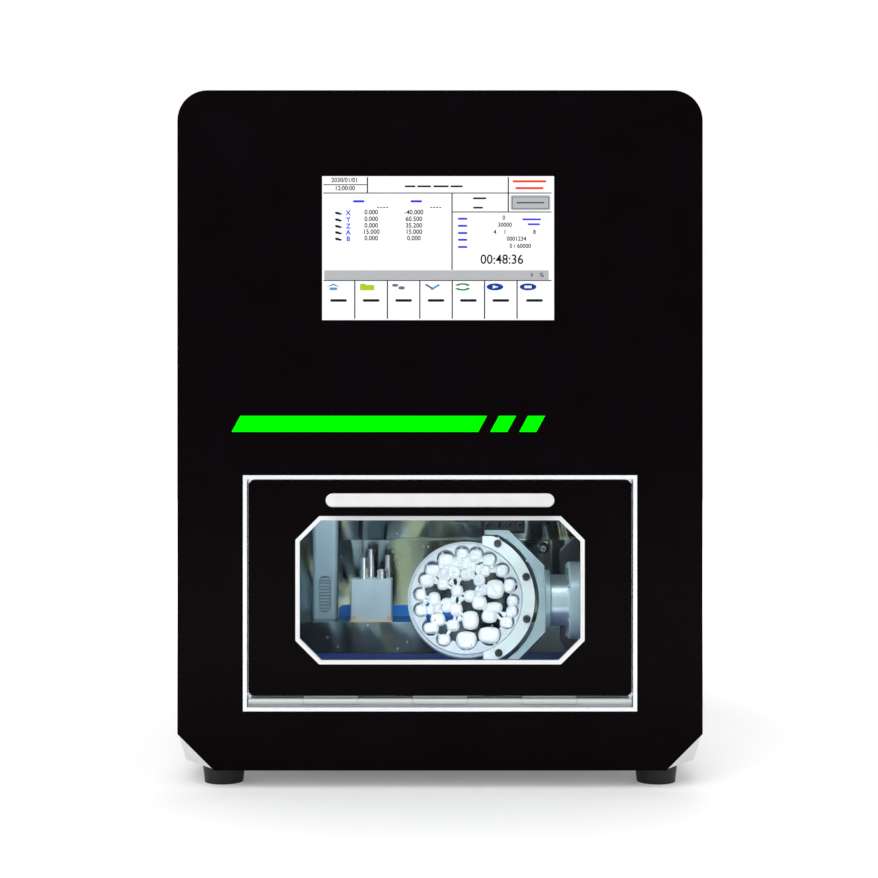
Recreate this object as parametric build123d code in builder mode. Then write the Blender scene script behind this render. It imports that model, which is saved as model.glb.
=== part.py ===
from build123d import *
import math
import os

# A benchtop five-axis dental milling machine, in millimetres.
# X is to the right, Y to the back and Z up. The origin is on the bench, under the middle of
# the cabinet, and the front face looks along -Y. The pieces stand where they are at rest:
# door shut, spindle parked behind the blank, and the blank tipped back by rest_tilt.

# Cabinet
body_width = 410.0
body_top = 546.0
foot_height = 15.0
fascia_front = -250.0
fascia_thick = 4.0
rear_face = 246.0
sheet = 3.0
corner_radius = 23.5
lower_chamfer = 28.5
facet_depth = 42.0
foot_inset_x = 32.0
foot_spread_y = 430.0
foot_radius = 15.3
foot_draft = 7.0
foot_bolt_radius = 3.0
bolt_head_radius = 5.0
bolt_recess_radius = 7.0
bolt_proud = 4.0

# Screen and stripes
screen_x = -1.5
screen_z = 422.8
screen_width = 181.0
screen_height = 112.4
screen_glass = 3.0
display_margin = 9.0
display_depth = 22.0
stripe_z = 285.6
stripe_height = 12.5
stripe_slant = 6.8
stripe_left = -162.6
stripe_length = 192.4
short_stripe_length = 13.3
short_stripe_pitch = 22.6
short_stripe_left = 39.2
stripe_thick = 0.4

# Door and its surround
opening_margin = 2.7
opening_bottom = 64.4
opening_top = 242.5
surround_width = 3.0
surround_proud = 1.0
surround_back = -238.0
lip_thick = 2.0
lip_inset = 9.7
lip_bottom = 92.0
lip_top = 228.0
door_gap = 1.2
door_bottom = 73.3
door_thick = 4.0
door_corner = 3.0
hinge_radius = 2.6
hinge_leaf = 1.2
hinge_pin_radius = 1.2
hinge_z = 68.7
hinge_knuckles = 7
hinge_leaf_height = 14.0
window_inset = 37.9
window_bottom = 98.0
window_top = 213.6
window_cut = 18.5
trim_width = 3.2
trim_proud = 0.8
trim_overhang = 1.5
pane_thick = 4.0
handle_z = 226.6
handle_length = 176.0
handle_height = 10.4
handle_depth = 8.0
handle_reach = 12.0
handle_post_x = 70.0
handle_post_radius = 3.6
handle_round = 1.5
seal_width = 5.0
seal_inset = 2.5
seal_lower_margin = 2.5
seal_upper_margin = 1.0
seal_inner_corner = 1.0
catch_half = 12.0
catch_rise = 3.5
catch_margin = 2.0

# Milling chamber
cabinet_side = 57.0
chamber_sheet = 2.0
chamber_floor = 70.0
chamber_top = 240.0
ledge_front = -25.0
ledge_top = 106.0
back_low = 30.0
back_step = 178.0
back_high = 47.0
roof_margin = 4.0
tray_lip = 8.0
tray_clear = 2.0
strip_left = -95.5
strip_right = 20.0
strip_height = 10.5
strip_thick = 1.5
duct_x = -107.5
duct_width = 23.0
duct_front = 6.0
duct_corner = 4.0
duct_slot_width = 11.0
duct_slot_low = 6.0
duct_slot_high = 40.0
pipe_z = 205.0
pipe_radius = 17.0
pipe_wall = 2.0
pipe_collar = 4.0
spigot_radius = 19.0
spigot_reach = 24.0
lamp_half = 90.0
lamp_size = 6.0
nozzle_x = 97.0
nozzle_z = 171.0
nozzle_radius = 5.5
nozzle_bore = 1.0
nozzle_reach = 18.0
ioniser_x = 60.5
ioniser_width = 41.0
ioniser_z = 192.0
ioniser_height = 16.0
ioniser_depth = 8.0
ioniser_chamfer = 1.5

# Tool magazine
block_x = -63.0
block_width = 38.0
block_top = 145.0
block_front = -22.0
block_depth = 24.0
bur_pitch = 16.5
bur_row_pitch = 12.0
bur_front_x = -61.75
bur_row_shift = 6.0
bur_shank_radius = 2.0
bur_collar_radius = 3.6
bur_collar_height = 5.0
bur_top = 172.0
bur_tip_radius = 1.2
bur_depth = 24.0
bur_chamfer = 0.5
bur_taper = 1.5
bur_clear = 2.0

# Side frames and linear guides
frame_gap = 8.0
frame_thick = 12.0
frame_top = 250.0
frame_end = 235.0
frame_hole_radius = 26.0
frame_corner = 8.0
rail_width = 12.0
rail_height = 8.0
rail_chamfer = 1.0
block_size = 26.0
block_height = 10.0
block_lift = 3.0
guide_block_length = 30.0
screw_radius = 5.0
motor_size = 35.0
motor_length = 36.0
y_rail_front = -205.0
y_rail_back = 185.0
y_screw_out = 20.0
y_screw_z = 285.0
y_front_support = -215.0
y_back_support = 193.0
support_thick = 12.0
support_margin = 12.0

# Gantry
beam_bottom = 284.0
beam_height = 72.0
beam_depth = 40.0
beam_pocket = 6.0
beam_end_thick = 8.0
beam_foot_thick = 10.0
beam_foot_length = 60.0
block_margin = 1.0
x_rail_pitch = 44.0
x_nut_half = 8.4

# Saddle and head
plate_half = 38.0
z_plate_thick = 8.0
saddle_thick = 10.0
saddle_bottom = 246.0
saddle_top = 412.0
saddle_chamfer = 8.0
z_rail_half_pitch = 24.5
z_plate_drop = 16.0
z_plate_length = 102.0
z_screw_radius = 4.0
z_nut_half = 9.5
z_cap_thick = 6.0
z_plate_chamfer = 5.0
z_block_margin = 6.0
z_nut_length = 18.0
nut_gap = 1.0

# Spindle, at its parked place
spindle_offset = 0.5
spindle_y = -35.0
nose_z = 202.0
nose_radius = 18.0
nose_length = 38.0
spindle_radius = 25.0
spindle_over_clamp = 35.0
clamp_reach = 30.0
clamp_margin = 6.0
clamp_height = 50.0
clamp_wall = 5.0
clamp_slot = 3.0
rotor_radius = 9.0
rotor_proud = 3.5
rotor_length = 60.0
collet_radius = 2.0
collet_depth = 22.0
y_forward = 147.0
y_rearward = 43.0
x_left = 95.0
x_right = 50.0

# Tilting axis, holder and blank
a_axis_y = -145.0
a_axis_z = 138.0
rest_tilt = 15.0
disc_radius = 49.25
disc_step = 2.4
disc_ledge = 10.0
disc_thick = 18.0
rim_width = 4.0
ring_radius = 57.5
ring_cover = 2.0
ring_thick = 5.0
ring_cut_x = 14.0
ring_flat = 53.0
holder_floor = 7.0
clamp_screw_circle = 53.4
clamp_screw_radius = 1.6
clamp_head_radius = 3.2
clamp_head_height = 2.4
clamp_screw_clear = 0.7
clamp_hole_clear = 0.2
clamp_screw_angles = (-60, -19.5, 19.5, 60)
pivot_x = 28.0
pivot_radius = 3.0
pivot_depth = 7.0
pivot_level = -1.5
yoke_gap = 1.5
yoke_side_gap = 3.5
yoke_arm = 4.0
yoke_left = 16.0
yoke_right = 66.0
yoke_flat_end = 36.0
yoke_corner_y = 28.0
yoke_back = -14.0
yoke_front = 8.0
a_shaft_radius = 21.5
a_flange_radius = 32.5
a_flange_gap = 0.3
a_shaft_length = 19.0
a_flange_thick = 12.7
a_flange_chamfer = 1.5
a_stub_radius = 15.0
a_stub_length = 22.0
a_housing_depth = 28.0
a_housing_size = 104.0
a_housing_face = 90.0
a_boss_radius = 30.0
a_motor_radius = 30.0
a_motor_length = 28.0
a_motor_chamfer = 2.0

# Rear panel fittings
fan_x = 110.0
fan_z = 440.0
fan_size = 60.0
fan_depth = 20.0
fan_bore = 28.0
fan_hub = 12.0
fan_corner = 4.0
fan_back_gap = 3.0
fan_tip = 27.0
fan_blades = 7
fan_strut = 3.0
vent_slots = 7
vent_slot_height = 4.0
vent_pitch = 7.5
socket_z = 80.0
inlet_inset = 28.0
inlet_width = 48.0
inlet_height = 30.0
inlet_flange = 2.5
inlet_body = 20.0
switch_z = 118.0
switch_width = 25.0
switch_height = 32.0
rocker_width = 20.0
rocker_height = 25.2
rocker_swing = 8.0
rocker_pivot_depth = 3.0
data_x = 70.0
air_x = 20.0
air_tube_radius = 4.0
air_body_radius = 8.0
air_reach = 16.0
air_cap_length = 4.0
air_cap_step = 1.5
air_cap_chamfer = 1.0
air_inside = 8.0
supply_height = 42.0
supply_width = 150.0
supply_length = 120.0
controller_width = 180.0
controller_height = 165.0
controller_depth = 34.0

# Clearances
running = 0.05
apart = 0.3

# Levels and planes that follow from the sizes above
body_half = body_width / 2
foot_spread_x = body_width - 2 * foot_inset_x
body_bottom = foot_height
tray_top = body_bottom + lower_chamfer
fascia_back = fascia_front + fascia_thick
panel_front = rear_face - sheet
chamber_half = body_half - cabinet_side
opening_half = chamber_half + opening_margin
lip_half = opening_half - lip_inset
window_half = opening_half - window_inset
door_half = opening_half - door_gap
seal_half = door_half - seal_inset
door_back = fascia_front + door_thick
hinge_y = fascia_back + hinge_leaf - hinge_radius
chamber_back = back_high + chamber_sheet
frame_inner = chamber_half + chamber_sheet + frame_gap
frame_outer = frame_inner + frame_thick
inlet_x = frame_inner - inlet_inset
y_rail_x = frame_inner + frame_thick / 2
y_screw_x = -(y_rail_x + y_screw_out)
block_face = frame_top + block_lift + block_height
clamp_back = spindle_y + clamp_reach
z_plate_back = clamp_back + z_plate_thick
saddle_front = z_plate_back + block_height + block_lift
saddle_back = saddle_front + saddle_thick
beam_front = saddle_back + block_height + block_lift
beam_back = beam_front + beam_depth
beam_middle_z = beam_bottom + beam_height / 2
beam_end_inner = frame_inner - beam_end_thick
x_screw_y = (saddle_back + beam_front) / 2
z_screw_y = (z_plate_back + saddle_front) / 2
z_plate_top = saddle_top - z_plate_drop
z_plate_bottom = z_plate_top - z_plate_length
clamp_bottom = z_plate_bottom + clamp_margin
spindle_top = clamp_bottom + clamp_height + spindle_over_clamp
a_housing_left = chamber_half - a_housing_depth
a_flange_left = a_housing_left - a_flange_gap - a_flange_thick
disc_x = a_flange_left - a_shaft_length - yoke_right
spindle_x = disc_x - spindle_offset
disc_plane = Plane(
    origin=(disc_x, a_axis_y, a_axis_z),
    x_dir=(1, 0, 0),
    z_dir=(0, -math.cos(math.radians(rest_tilt)), math.sin(math.radians(rest_tilt))),
)

os.makedirs("parts", exist_ok=True)


def front_plane(y):
    """An upright plane at y that looks to the front, with local x and y along X and Z"""
    return Plane.XZ.offset(-y)


def side_plane(x):
    """An upright plane at x that looks to the right, with local x and y along Y and Z"""
    return Plane.YZ.offset(x)


def slab(x0, x1, y0, y1, z0, z1, mode=Mode.ADD):
    """A plain rectangular volume between two corners, for pockets and small lands"""
    with Locations(((x0 + x1) / 2, (y0 + y1) / 2, (z0 + z1) / 2)):
        return Box(x1 - x0, y1 - y0, z1 - z0, mode=mode)


# Base tray: a folded sheet box, open at the top, whose lower front corners are cut by facets
# that run back from the chamfers of the front plate
def facet_plane(side, inset):
    """The plane that cuts one lower front corner, moved into the body by inset"""
    corner = (side * body_half, fascia_back, tray_top)
    outward = (side / lower_chamfer, -1 / facet_depth, -1 / lower_chamfer)
    return Plane(origin=corner, z_dir=outward).offset(-inset)


def tray_form(inset):
    """The tray's outer form, or its hollow when inset by the sheet"""
    with BuildPart() as form:
        with BuildSketch(Plane.XY.offset(body_bottom + inset)):
            with Locations((0, (fascia_back + rear_face) / 2)):
                Rectangle(body_width - 2 * inset, rear_face - fascia_back - 2 * inset)
        extrude(amount=lower_chamfer - inset)
        for side in (-1, 1):
            split(bisect_by=facet_plane(side, inset), keep=Keep.BOTTOM)
    return form.part


foot_bolt_clear = 0.3
foot_recess = 6.0
tray_outside = tray_form(0)
tray_inside = tray_form(sheet)
with BuildPart() as base_tray:
    add(tray_outside)
    add(tray_inside, mode=Mode.SUBTRACT)
    with BuildSketch(Plane.XY.offset(body_bottom)):
        with GridLocations(foot_spread_x, foot_spread_y, 2, 2):
            Circle(foot_bolt_radius + foot_bolt_clear)
    extrude(amount=sheet, mode=Mode.SUBTRACT)
base_tray.part.label = "base_tray"
export_step(base_tray.part, "parts/base_tray.step")

# Feet: four tapered rubber feet with a sunk bolt head
with BuildPart() as rubber_feet:
    with BuildSketch():
        with GridLocations(foot_spread_x, foot_spread_y, 2, 2):
            Circle(foot_radius)
    extrude(amount=foot_height, taper=-foot_draft)
    with BuildSketch():
        with GridLocations(foot_spread_x, foot_spread_y, 2, 2):
            Circle(bolt_recess_radius)
    extrude(amount=foot_recess, mode=Mode.SUBTRACT)
    with BuildSketch():
        with GridLocations(foot_spread_x, foot_spread_y, 2, 2):
            Circle(foot_bolt_radius + foot_bolt_clear)
    extrude(amount=foot_height, mode=Mode.SUBTRACT)
rubber_feet.part.label = "rubber_feet"
export_step(rubber_feet.part, "parts/rubber_feet.step")

# Foot bolts, each with its head in the foot and its shank up through the tray
bolt_head_height = 4.0
bolt_grip = foot_height - foot_recess + sheet + bolt_proud
with BuildPart() as foot_bolts:
    with BuildSketch(Plane.XY.offset(foot_recess - bolt_head_height)):
        with GridLocations(foot_spread_x, foot_spread_y, 2, 2):
            Circle(bolt_head_radius)
    extrude(amount=bolt_head_height)
    with BuildSketch(Plane.XY.offset(foot_recess)):
        with GridLocations(foot_spread_x, foot_spread_y, 2, 2):
            Circle(foot_bolt_radius)
    extrude(amount=bolt_grip)
foot_bolts.part.label = "foot_bolts"
export_step(foot_bolts.part, "parts/foot_bolts.step")


# Outer cover: one sheet bent over the sides and top, with cooling slots low at the back
side_slots = 6
side_slot_pitch = 14.0
side_slot_length = 70.0
side_slot_height = 5.0
side_slot_y = 165.0
side_slot_z = 90.0


def cover_outline(inset):
    """The arch of the cover seen from the front, moved inwards by inset"""
    height = body_top - tray_top
    with BuildSketch() as arch:
        with Locations((0, tray_top + (height - inset) / 2)):
            Rectangle(body_width - 2 * inset, height - inset)
        fillet(arch.vertices().group_by(Axis.Y)[-1], radius=corner_radius - inset)
    return arch.sketch


cover_depth = rear_face - fascia_back
cover_outside = cover_outline(0)
cover_inside = cover_outline(sheet)
with BuildPart() as outer_cover:
    with BuildSketch(front_plane(fascia_back)):
        add(cover_outside)
        add(cover_inside, mode=Mode.SUBTRACT)
    extrude(amount=-cover_depth)
    with BuildSketch(side_plane(-body_half)):
        with Locations((side_slot_y, side_slot_z + side_slots * side_slot_pitch / 2)):
            with GridLocations(0, side_slot_pitch, 1, side_slots):
                SlotOverall(side_slot_length, side_slot_height)
    extrude(amount=body_width, mode=Mode.SUBTRACT)
outer_cover.part.label = "outer_cover"
export_step(outer_cover.part, "parts/outer_cover.step")

# Front plate: the black face with round top corners, cut lower corners, a door opening and
# a screen opening
with BuildPart() as front_fascia:
    with BuildSketch(front_plane(fascia_front)) as face:
        with Locations((0, (body_bottom + body_top) / 2)):
            Rectangle(body_width, body_top - body_bottom)
        fillet(face.vertices().group_by(Axis.Y)[-1], radius=corner_radius)
        chamfer(face.vertices().group_by(Axis.Y)[0], length=lower_chamfer)
        surround_bottom = opening_bottom - surround_width
        surround_top = opening_top + surround_width
        with Locations((0, (surround_bottom + surround_top) / 2)):
            Rectangle(
                2 * (opening_half + surround_width),
                surround_top - surround_bottom,
                mode=Mode.SUBTRACT,
            )
        with Locations((screen_x, screen_z)):
            Rectangle(screen_width, screen_height, mode=Mode.SUBTRACT)
    extrude(amount=-fascia_thick)
front_fascia.part.label = "front_fascia"
export_step(front_fascia.part, "parts/front_fascia.step")

# Stripes: one long and two short slanted bars of thin film on the front plate
with BuildPart() as accent_stripes:
    with BuildSketch(front_plane(fascia_front)):
        low = stripe_z - stripe_height / 2
        high = stripe_z + stripe_height / 2
        starts = [stripe_left, short_stripe_left, short_stripe_left + short_stripe_pitch]
        lengths = [stripe_length, short_stripe_length, short_stripe_length]
        for left, length in zip(starts, lengths):
            with BuildLine():
                Polyline(
                    (left, low),
                    (left + length, low),
                    (left + length + stripe_slant, high),
                    (left + stripe_slant, high),
                    close=True,
                )
            make_face()
    extrude(amount=stripe_thick)
accent_stripes.part.label = "accent_stripes"
export_step(accent_stripes.part, "parts/accent_stripes.step")

# Screen glass, let into the front plate
with BuildPart() as display_glass:
    with BuildSketch(front_plane(fascia_front)):
        with Locations((screen_x, screen_z)):
            Rectangle(screen_width, screen_height)
    extrude(amount=-screen_glass)
display_glass.part.label = "display_glass"
export_step(display_glass.part, "parts/display_glass.step")

# Screen module: the panel and its board behind the glass, with a raised rim behind the plate
display_board = 1.6
with BuildPart() as display_module:
    with BuildSketch(front_plane(fascia_front + screen_glass)):
        with Locations((screen_x, screen_z)):
            Rectangle(screen_width, screen_height)
    extrude(amount=-(fascia_thick - screen_glass))
    with BuildSketch(front_plane(fascia_back)):
        with Locations((screen_x, screen_z)):
            Rectangle(screen_width + 2 * display_margin, screen_height + 2 * display_margin)
    extrude(amount=-(display_depth - 2 * display_board))
    chamfer(faces().sort_by(Axis.Y)[-1].edges(), length=display_board)
    with BuildSketch(front_plane(fascia_back + display_depth - 2 * display_board)):
        with Locations((screen_x, screen_z)):
            Rectangle(screen_width - display_margin, screen_height - display_margin)
    extrude(amount=-2 * display_board)
display_module.part.label = "display_module"
export_step(display_module.part, "parts/display_module.step")

# Door surround: a bright frame through the front plate, with a lip behind for the seal
with BuildPart() as door_surround:
    with BuildSketch(front_plane(fascia_front - surround_proud)):
        with Locations((0, (surround_bottom + surround_top) / 2)):
            Rectangle(2 * (opening_half + surround_width), surround_top - surround_bottom)
        with Locations((0, (opening_bottom + opening_top) / 2)):
            Rectangle(2 * opening_half, opening_top - opening_bottom, mode=Mode.SUBTRACT)
    extrude(amount=-(surround_back - fascia_front + surround_proud))
    with BuildSketch(front_plane(surround_back)):
        with Locations((0, (opening_bottom + opening_top) / 2)):
            Rectangle(2 * opening_half, opening_top - opening_bottom)
        with Locations((0, (lip_bottom + lip_top) / 2)):
            Rectangle(2 * lip_half, lip_top - lip_bottom, mode=Mode.SUBTRACT)
    extrude(amount=lip_thick)
door_surround.part.label = "door_surround"
export_step(door_surround.part, "parts/door_surround.step")


# Door hinge: knuckles that alternate along one pin, the outer ones fixed to the cabinet with
# the pin
hinge_pitch = 2 * door_half / hinge_knuckles


def knuckles(first, leaf_low, leaf_high):
    """Every second knuckle from first on, each with its share of a flat leaf"""
    with BuildPart() as leaf:
        for number in range(first, hinge_knuckles, 2):
            left = -door_half + number * hinge_pitch + apart / 2
            width = hinge_pitch - apart
            with BuildSketch(side_plane(left)):
                with Locations((hinge_y, hinge_z)):
                    Circle(hinge_radius)
                with Locations((fascia_back + hinge_leaf / 2, (leaf_low + leaf_high) / 2)):
                    Rectangle(hinge_leaf, leaf_high - leaf_low)
                with Locations((hinge_y, hinge_z)):
                    Circle(hinge_pin_radius + running, mode=Mode.SUBTRACT)
            extrude(amount=width)
    return leaf.part


fixed_knuckles = knuckles(0, opening_bottom, hinge_z)
with BuildPart() as hinge_rail:
    add(fixed_knuckles)
    slab(
        -door_half,
        door_half,
        fascia_back,
        surround_back - lip_thick,
        opening_bottom,
        opening_bottom + hinge_leaf,
    )
    with BuildSketch(side_plane(-door_half)):
        with Locations((hinge_y, hinge_z)):
            Circle(hinge_pin_radius)
    extrude(amount=2 * door_half)
hinge_rail.part.label = "hinge_rail"
export_step(hinge_rail.part, "parts/hinge_rail.step")

door_leaf_top = hinge_z + hinge_leaf_height
door_knuckles = knuckles(1, hinge_z, door_bottom)
with BuildPart() as door_hinge_leaf:
    add(door_knuckles)
    slab(-door_half, door_half, door_back, door_back + hinge_leaf, door_bottom, door_leaf_top)
door_hinge_leaf.part.label = "door_hinge_leaf"
export_step(door_hinge_leaf.part, "parts/door_hinge_leaf.step")


# Door panel: the black plate with an eight-sided window hole
def window_shape(inset):
    """The window's eight-sided outline, moved inwards by inset, on the plane in use"""
    half = window_half - inset
    low = window_bottom + inset
    high = window_top - inset
    cut = window_cut - inset * (2 - math.sqrt(2))
    with BuildSketch() as shape:
        with Locations((0, (low + high) / 2)):
            Rectangle(2 * half, high - low)
        chamfer(shape.vertices(), length=cut)
    return shape.sketch


door_top = opening_top - door_gap / 2
window_hole = window_shape(0)
window_inner = window_shape(trim_width)
with BuildPart() as door_panel:
    with BuildSketch(front_plane(fascia_front)) as panel_face:
        with Locations((0, (door_bottom + door_top) / 2)):
            Rectangle(2 * door_half, door_top - door_bottom)
        chamfer(panel_face.vertices(), length=door_corner)
        add(window_hole, mode=Mode.SUBTRACT)
    extrude(amount=-door_thick)
door_panel.part.label = "door_panel"
export_step(door_panel.part, "parts/door_panel.step")

# Window trim and pane: a pale ring that stands a little proud and holds the clear pane
trim_back = door_back + trim_overhang
with BuildPart() as window_trim:
    with BuildSketch(front_plane(fascia_front - trim_proud)):
        add(window_hole)
        add(window_inner, mode=Mode.SUBTRACT)
    extrude(amount=-(trim_back - fascia_front + trim_proud))
window_trim.part.label = "window_trim"
export_step(window_trim.part, "parts/window_trim.step")

with BuildPart() as window_pane:
    with BuildSketch(front_plane(trim_back)):
        add(window_inner)
    extrude(amount=pane_thick)
window_pane.part.label = "window_pane"
export_step(window_pane.part, "parts/window_pane.step")

# Door handle: a round-ended bar on two posts
with BuildPart() as door_handle:
    with BuildSketch(front_plane(fascia_front)):
        with Locations((-handle_post_x, handle_z), (handle_post_x, handle_z)):
            Circle(handle_post_radius)
    extrude(amount=handle_reach)
    with BuildSketch(front_plane(fascia_front - handle_reach)):
        with Locations((0, handle_z)):
            SlotOverall(handle_length, handle_height)
    extrude(amount=handle_depth)
    fillet(faces().sort_by(Axis.Y)[0].edges(), radius=handle_round)
door_handle.part.label = "door_handle"
export_step(door_handle.part, "parts/door_handle.step")

# Door seal: a rubber loop on the door's back that meets the lip of the surround
seal_low = door_leaf_top + seal_lower_margin
seal_high = door_top - seal_upper_margin
seal_depth = surround_back - lip_thick - apart - door_back
with BuildPart() as door_seal:
    with BuildSketch(front_plane(door_back)):
        with Locations((0, (seal_low + seal_high) / 2)):
            RectangleRounded(2 * seal_half, seal_high - seal_low, seal_width)
            RectangleRounded(
                2 * (seal_half - seal_width),
                seal_high - seal_low - 2 * seal_width,
                seal_inner_corner,
                mode=Mode.SUBTRACT,
            )
    extrude(amount=-seal_depth)
door_seal.part.label = "door_seal"
export_step(door_seal.part, "parts/door_seal.step")

# Catch: a magnet on the lip and a steel plate on the door that it pulls on
catch_z = lip_top + catch_rise
catch_height = 5.0
plate_thick = 1.4
catch_chamfer = 1.0
with BuildPart() as latch_plate:
    slab(
        -catch_half - catch_margin,
        catch_half + catch_margin,
        door_back,
        door_back + plate_thick,
        catch_z - catch_height / 2,
        catch_z + catch_height / 2,
    )
    chamfer(edges().filter_by(Axis.Y), length=catch_chamfer)
latch_plate.part.label = "latch_plate"
export_step(latch_plate.part, "parts/latch_plate.step")

with BuildPart() as magnetic_catch:
    slab(
        -catch_half,
        catch_half,
        door_back + plate_thick + apart,
        surround_back - lip_thick,
        catch_z - catch_height / 2,
        catch_z + catch_height / 2,
    )
    chamfer(edges().filter_by(Axis.Z), length=catch_chamfer)
magnetic_catch.part.label = "magnetic_catch"
export_step(magnetic_catch.part, "parts/magnetic_catch.step")

# Side frames: two upright plates with lightening holes, which stand in the tray and carry the
# linear rails; the left one also has the two supports of the long screw
frame_hole_pitch_y = 86.0
frame_hole_pitch_z = 96.0
frame_foot = body_bottom + sheet
support_left = y_screw_x - support_margin
with BuildPart() as side_frames:
    for side in (-1, 1):
        left = min(side * frame_inner, side * frame_outer)
        with BuildSketch(side_plane(left)):
            with Locations((0, (frame_foot + frame_top) / 2)):
                RectangleRounded(2 * frame_end, frame_top - frame_foot, frame_corner)
            with Locations((0, (frame_foot + frame_top) / 2)):
                with GridLocations(frame_hole_pitch_y, frame_hole_pitch_z, 5, 2):
                    Circle(frame_hole_radius, mode=Mode.SUBTRACT)
            if side > 0:
                with Locations((a_axis_y, a_axis_z)):
                    Circle(a_boss_radius + frame_thick)
                    Circle(a_stub_radius, mode=Mode.SUBTRACT)
        extrude(amount=frame_thick)
    for middle in (y_front_support, y_back_support):
        with BuildSketch(front_plane(middle - support_thick / 2)):
            with BuildLine():
                Polyline(
                    (-frame_inner, frame_top),
                    (-frame_inner, frame_top + support_margin),
                    (-y_rail_x, y_screw_z + support_margin),
                    (support_left, y_screw_z + support_margin),
                    (support_left, y_screw_z - support_margin),
                    (-frame_outer, frame_top),
                    close=True,
                )
            make_face()
            with Locations((y_screw_x, y_screw_z)):
                Circle(screw_radius + running, mode=Mode.SUBTRACT)
        extrude(amount=-support_thick)
side_frames.part.label = "side_frames"
export_step(side_frames.part, "parts/side_frames.step")

# Long rails on top of the side frames
with BuildPart() as y_rails:
    with BuildSketch(front_plane(y_rail_front)):
        with Locations((-y_rail_x, frame_top + rail_height / 2), (y_rail_x, frame_top + rail_height / 2)):
            Rectangle(rail_width, rail_height)
    extrude(amount=-(y_rail_back - y_rail_front))
    chamfer(edges().filter_by(Axis.Y).group_by(Axis.Z)[-1], length=rail_chamfer)
y_rails.part.label = "y_rails"
export_step(y_rails.part, "parts/y_rails.step")

# Milling chamber: a folded trough with a hole for the tilting axis in its right wall
chamber_front = surround_back
tub_floor = chamber_floor - chamber_sheet
axis_hole = a_boss_radius + apart
outer_half = chamber_half + chamber_sheet
with BuildPart() as chamber_tub:
    with BuildSketch(front_plane(chamber_front)):
        with BuildLine():
            Polyline(
                (-outer_half, chamber_top),
                (-outer_half, tub_floor),
                (outer_half, tub_floor),
                (outer_half, chamber_top),
                (chamber_half, chamber_top),
                (chamber_half, chamber_floor),
                (-chamber_half, chamber_floor),
                (-chamber_half, chamber_top),
                close=True,
            )
        make_face()
    extrude(amount=-(chamber_back - chamber_front))
    with BuildSketch(side_plane(chamber_half)):
        with Locations((a_axis_y, a_axis_z)):
            Circle(axis_hole)
    extrude(amount=chamber_sheet, mode=Mode.SUBTRACT)
chamber_tub.part.label = "chamber_tub"
export_step(chamber_tub.part, "parts/chamber_tub.step")

# Back of the chamber: one folded sheet that makes the ledge, the low wall, the step and the
# high wall, with the suction hole
with BuildPart() as chamber_rear_wall:
    with BuildSketch(side_plane(-chamber_half)):
        with BuildLine():
            Polyline(
                (ledge_front, chamber_floor),
                (ledge_front, ledge_top),
                (back_low, ledge_top),
                (back_low, back_step),
                (back_high, back_step),
                (back_high, chamber_top),
                (back_high + chamber_sheet, chamber_top),
                (back_high + chamber_sheet, back_step - chamber_sheet),
                (back_low + chamber_sheet, back_step - chamber_sheet),
                (back_low + chamber_sheet, ledge_top - chamber_sheet),
                (ledge_front + chamber_sheet, ledge_top - chamber_sheet),
                (ledge_front + chamber_sheet, chamber_floor),
                close=True,
            )
        make_face()
    extrude(amount=2 * chamber_half)
    with BuildSketch(front_plane(back_high)):
        with Locations((duct_x, pipe_z)):
            Circle(pipe_radius - pipe_wall)
    extrude(amount=-chamber_sheet, mode=Mode.SUBTRACT)
chamber_rear_wall.part.label = "chamber_rear_wall"
export_step(chamber_rear_wall.part, "parts/chamber_rear_wall.step")

# Roof of the chamber, with the opening that the spindle travels in
roof_reach = spindle_radius + roof_margin
roof_left = spindle_x - x_left - roof_reach
roof_right = spindle_x + x_right + roof_reach
roof_front = spindle_y - y_forward - roof_reach
roof_back = spindle_y + y_rearward + roof_reach
roof_slot_corner = 6.0
with BuildPart() as chamber_roof:
    with BuildSketch(Plane.XY.offset(chamber_top)):
        with Locations((0, (chamber_front + chamber_back) / 2)):
            Rectangle(2 * frame_inner, chamber_back - chamber_front)
        with Locations(((roof_left + roof_right) / 2, (roof_front + roof_back) / 2)):
            RectangleRounded(
                roof_right - roof_left,
                roof_back - roof_front,
                roof_slot_corner,
                mode=Mode.SUBTRACT,
            )
    extrude(amount=chamber_sheet)
chamber_roof.part.label = "chamber_roof"
export_step(chamber_roof.part, "parts/chamber_roof.step")

# Chip tray: a shallow blue tray on the chamber floor
tray_half = chamber_half - tray_clear
tray_front = chamber_front + tray_clear
tray_depth = ledge_front - tray_clear - tray_front
tray_sheet = 1.5
tray_corner = 6.0
with BuildPart() as chip_tray:
    with BuildSketch(Plane.XY.offset(chamber_floor)):
        with Locations((0, tray_front + tray_depth / 2)):
            RectangleRounded(2 * tray_half, tray_depth, tray_corner)
    extrude(amount=tray_lip)
    offset(amount=-tray_sheet, openings=faces().sort_by(Axis.Z)[-1])
chip_tray.part.label = "chip_tray"
export_step(chip_tray.part, "parts/chip_tray.step")

# Wall strip: a blue rubber strip at the foot of the low wall
strip_corner = 3.0
with BuildPart() as wall_strip:
    slab(
        strip_left,
        strip_right,
        back_low - strip_thick,
        back_low,
        ledge_top,
        ledge_top + strip_height,
    )
    chamfer(edges().filter_by(Axis.Y).group_by(Axis.Z)[-1], length=strip_corner)
wall_strip.part.label = "wall_strip"
export_step(wall_strip.part, "parts/wall_strip.step")

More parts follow.
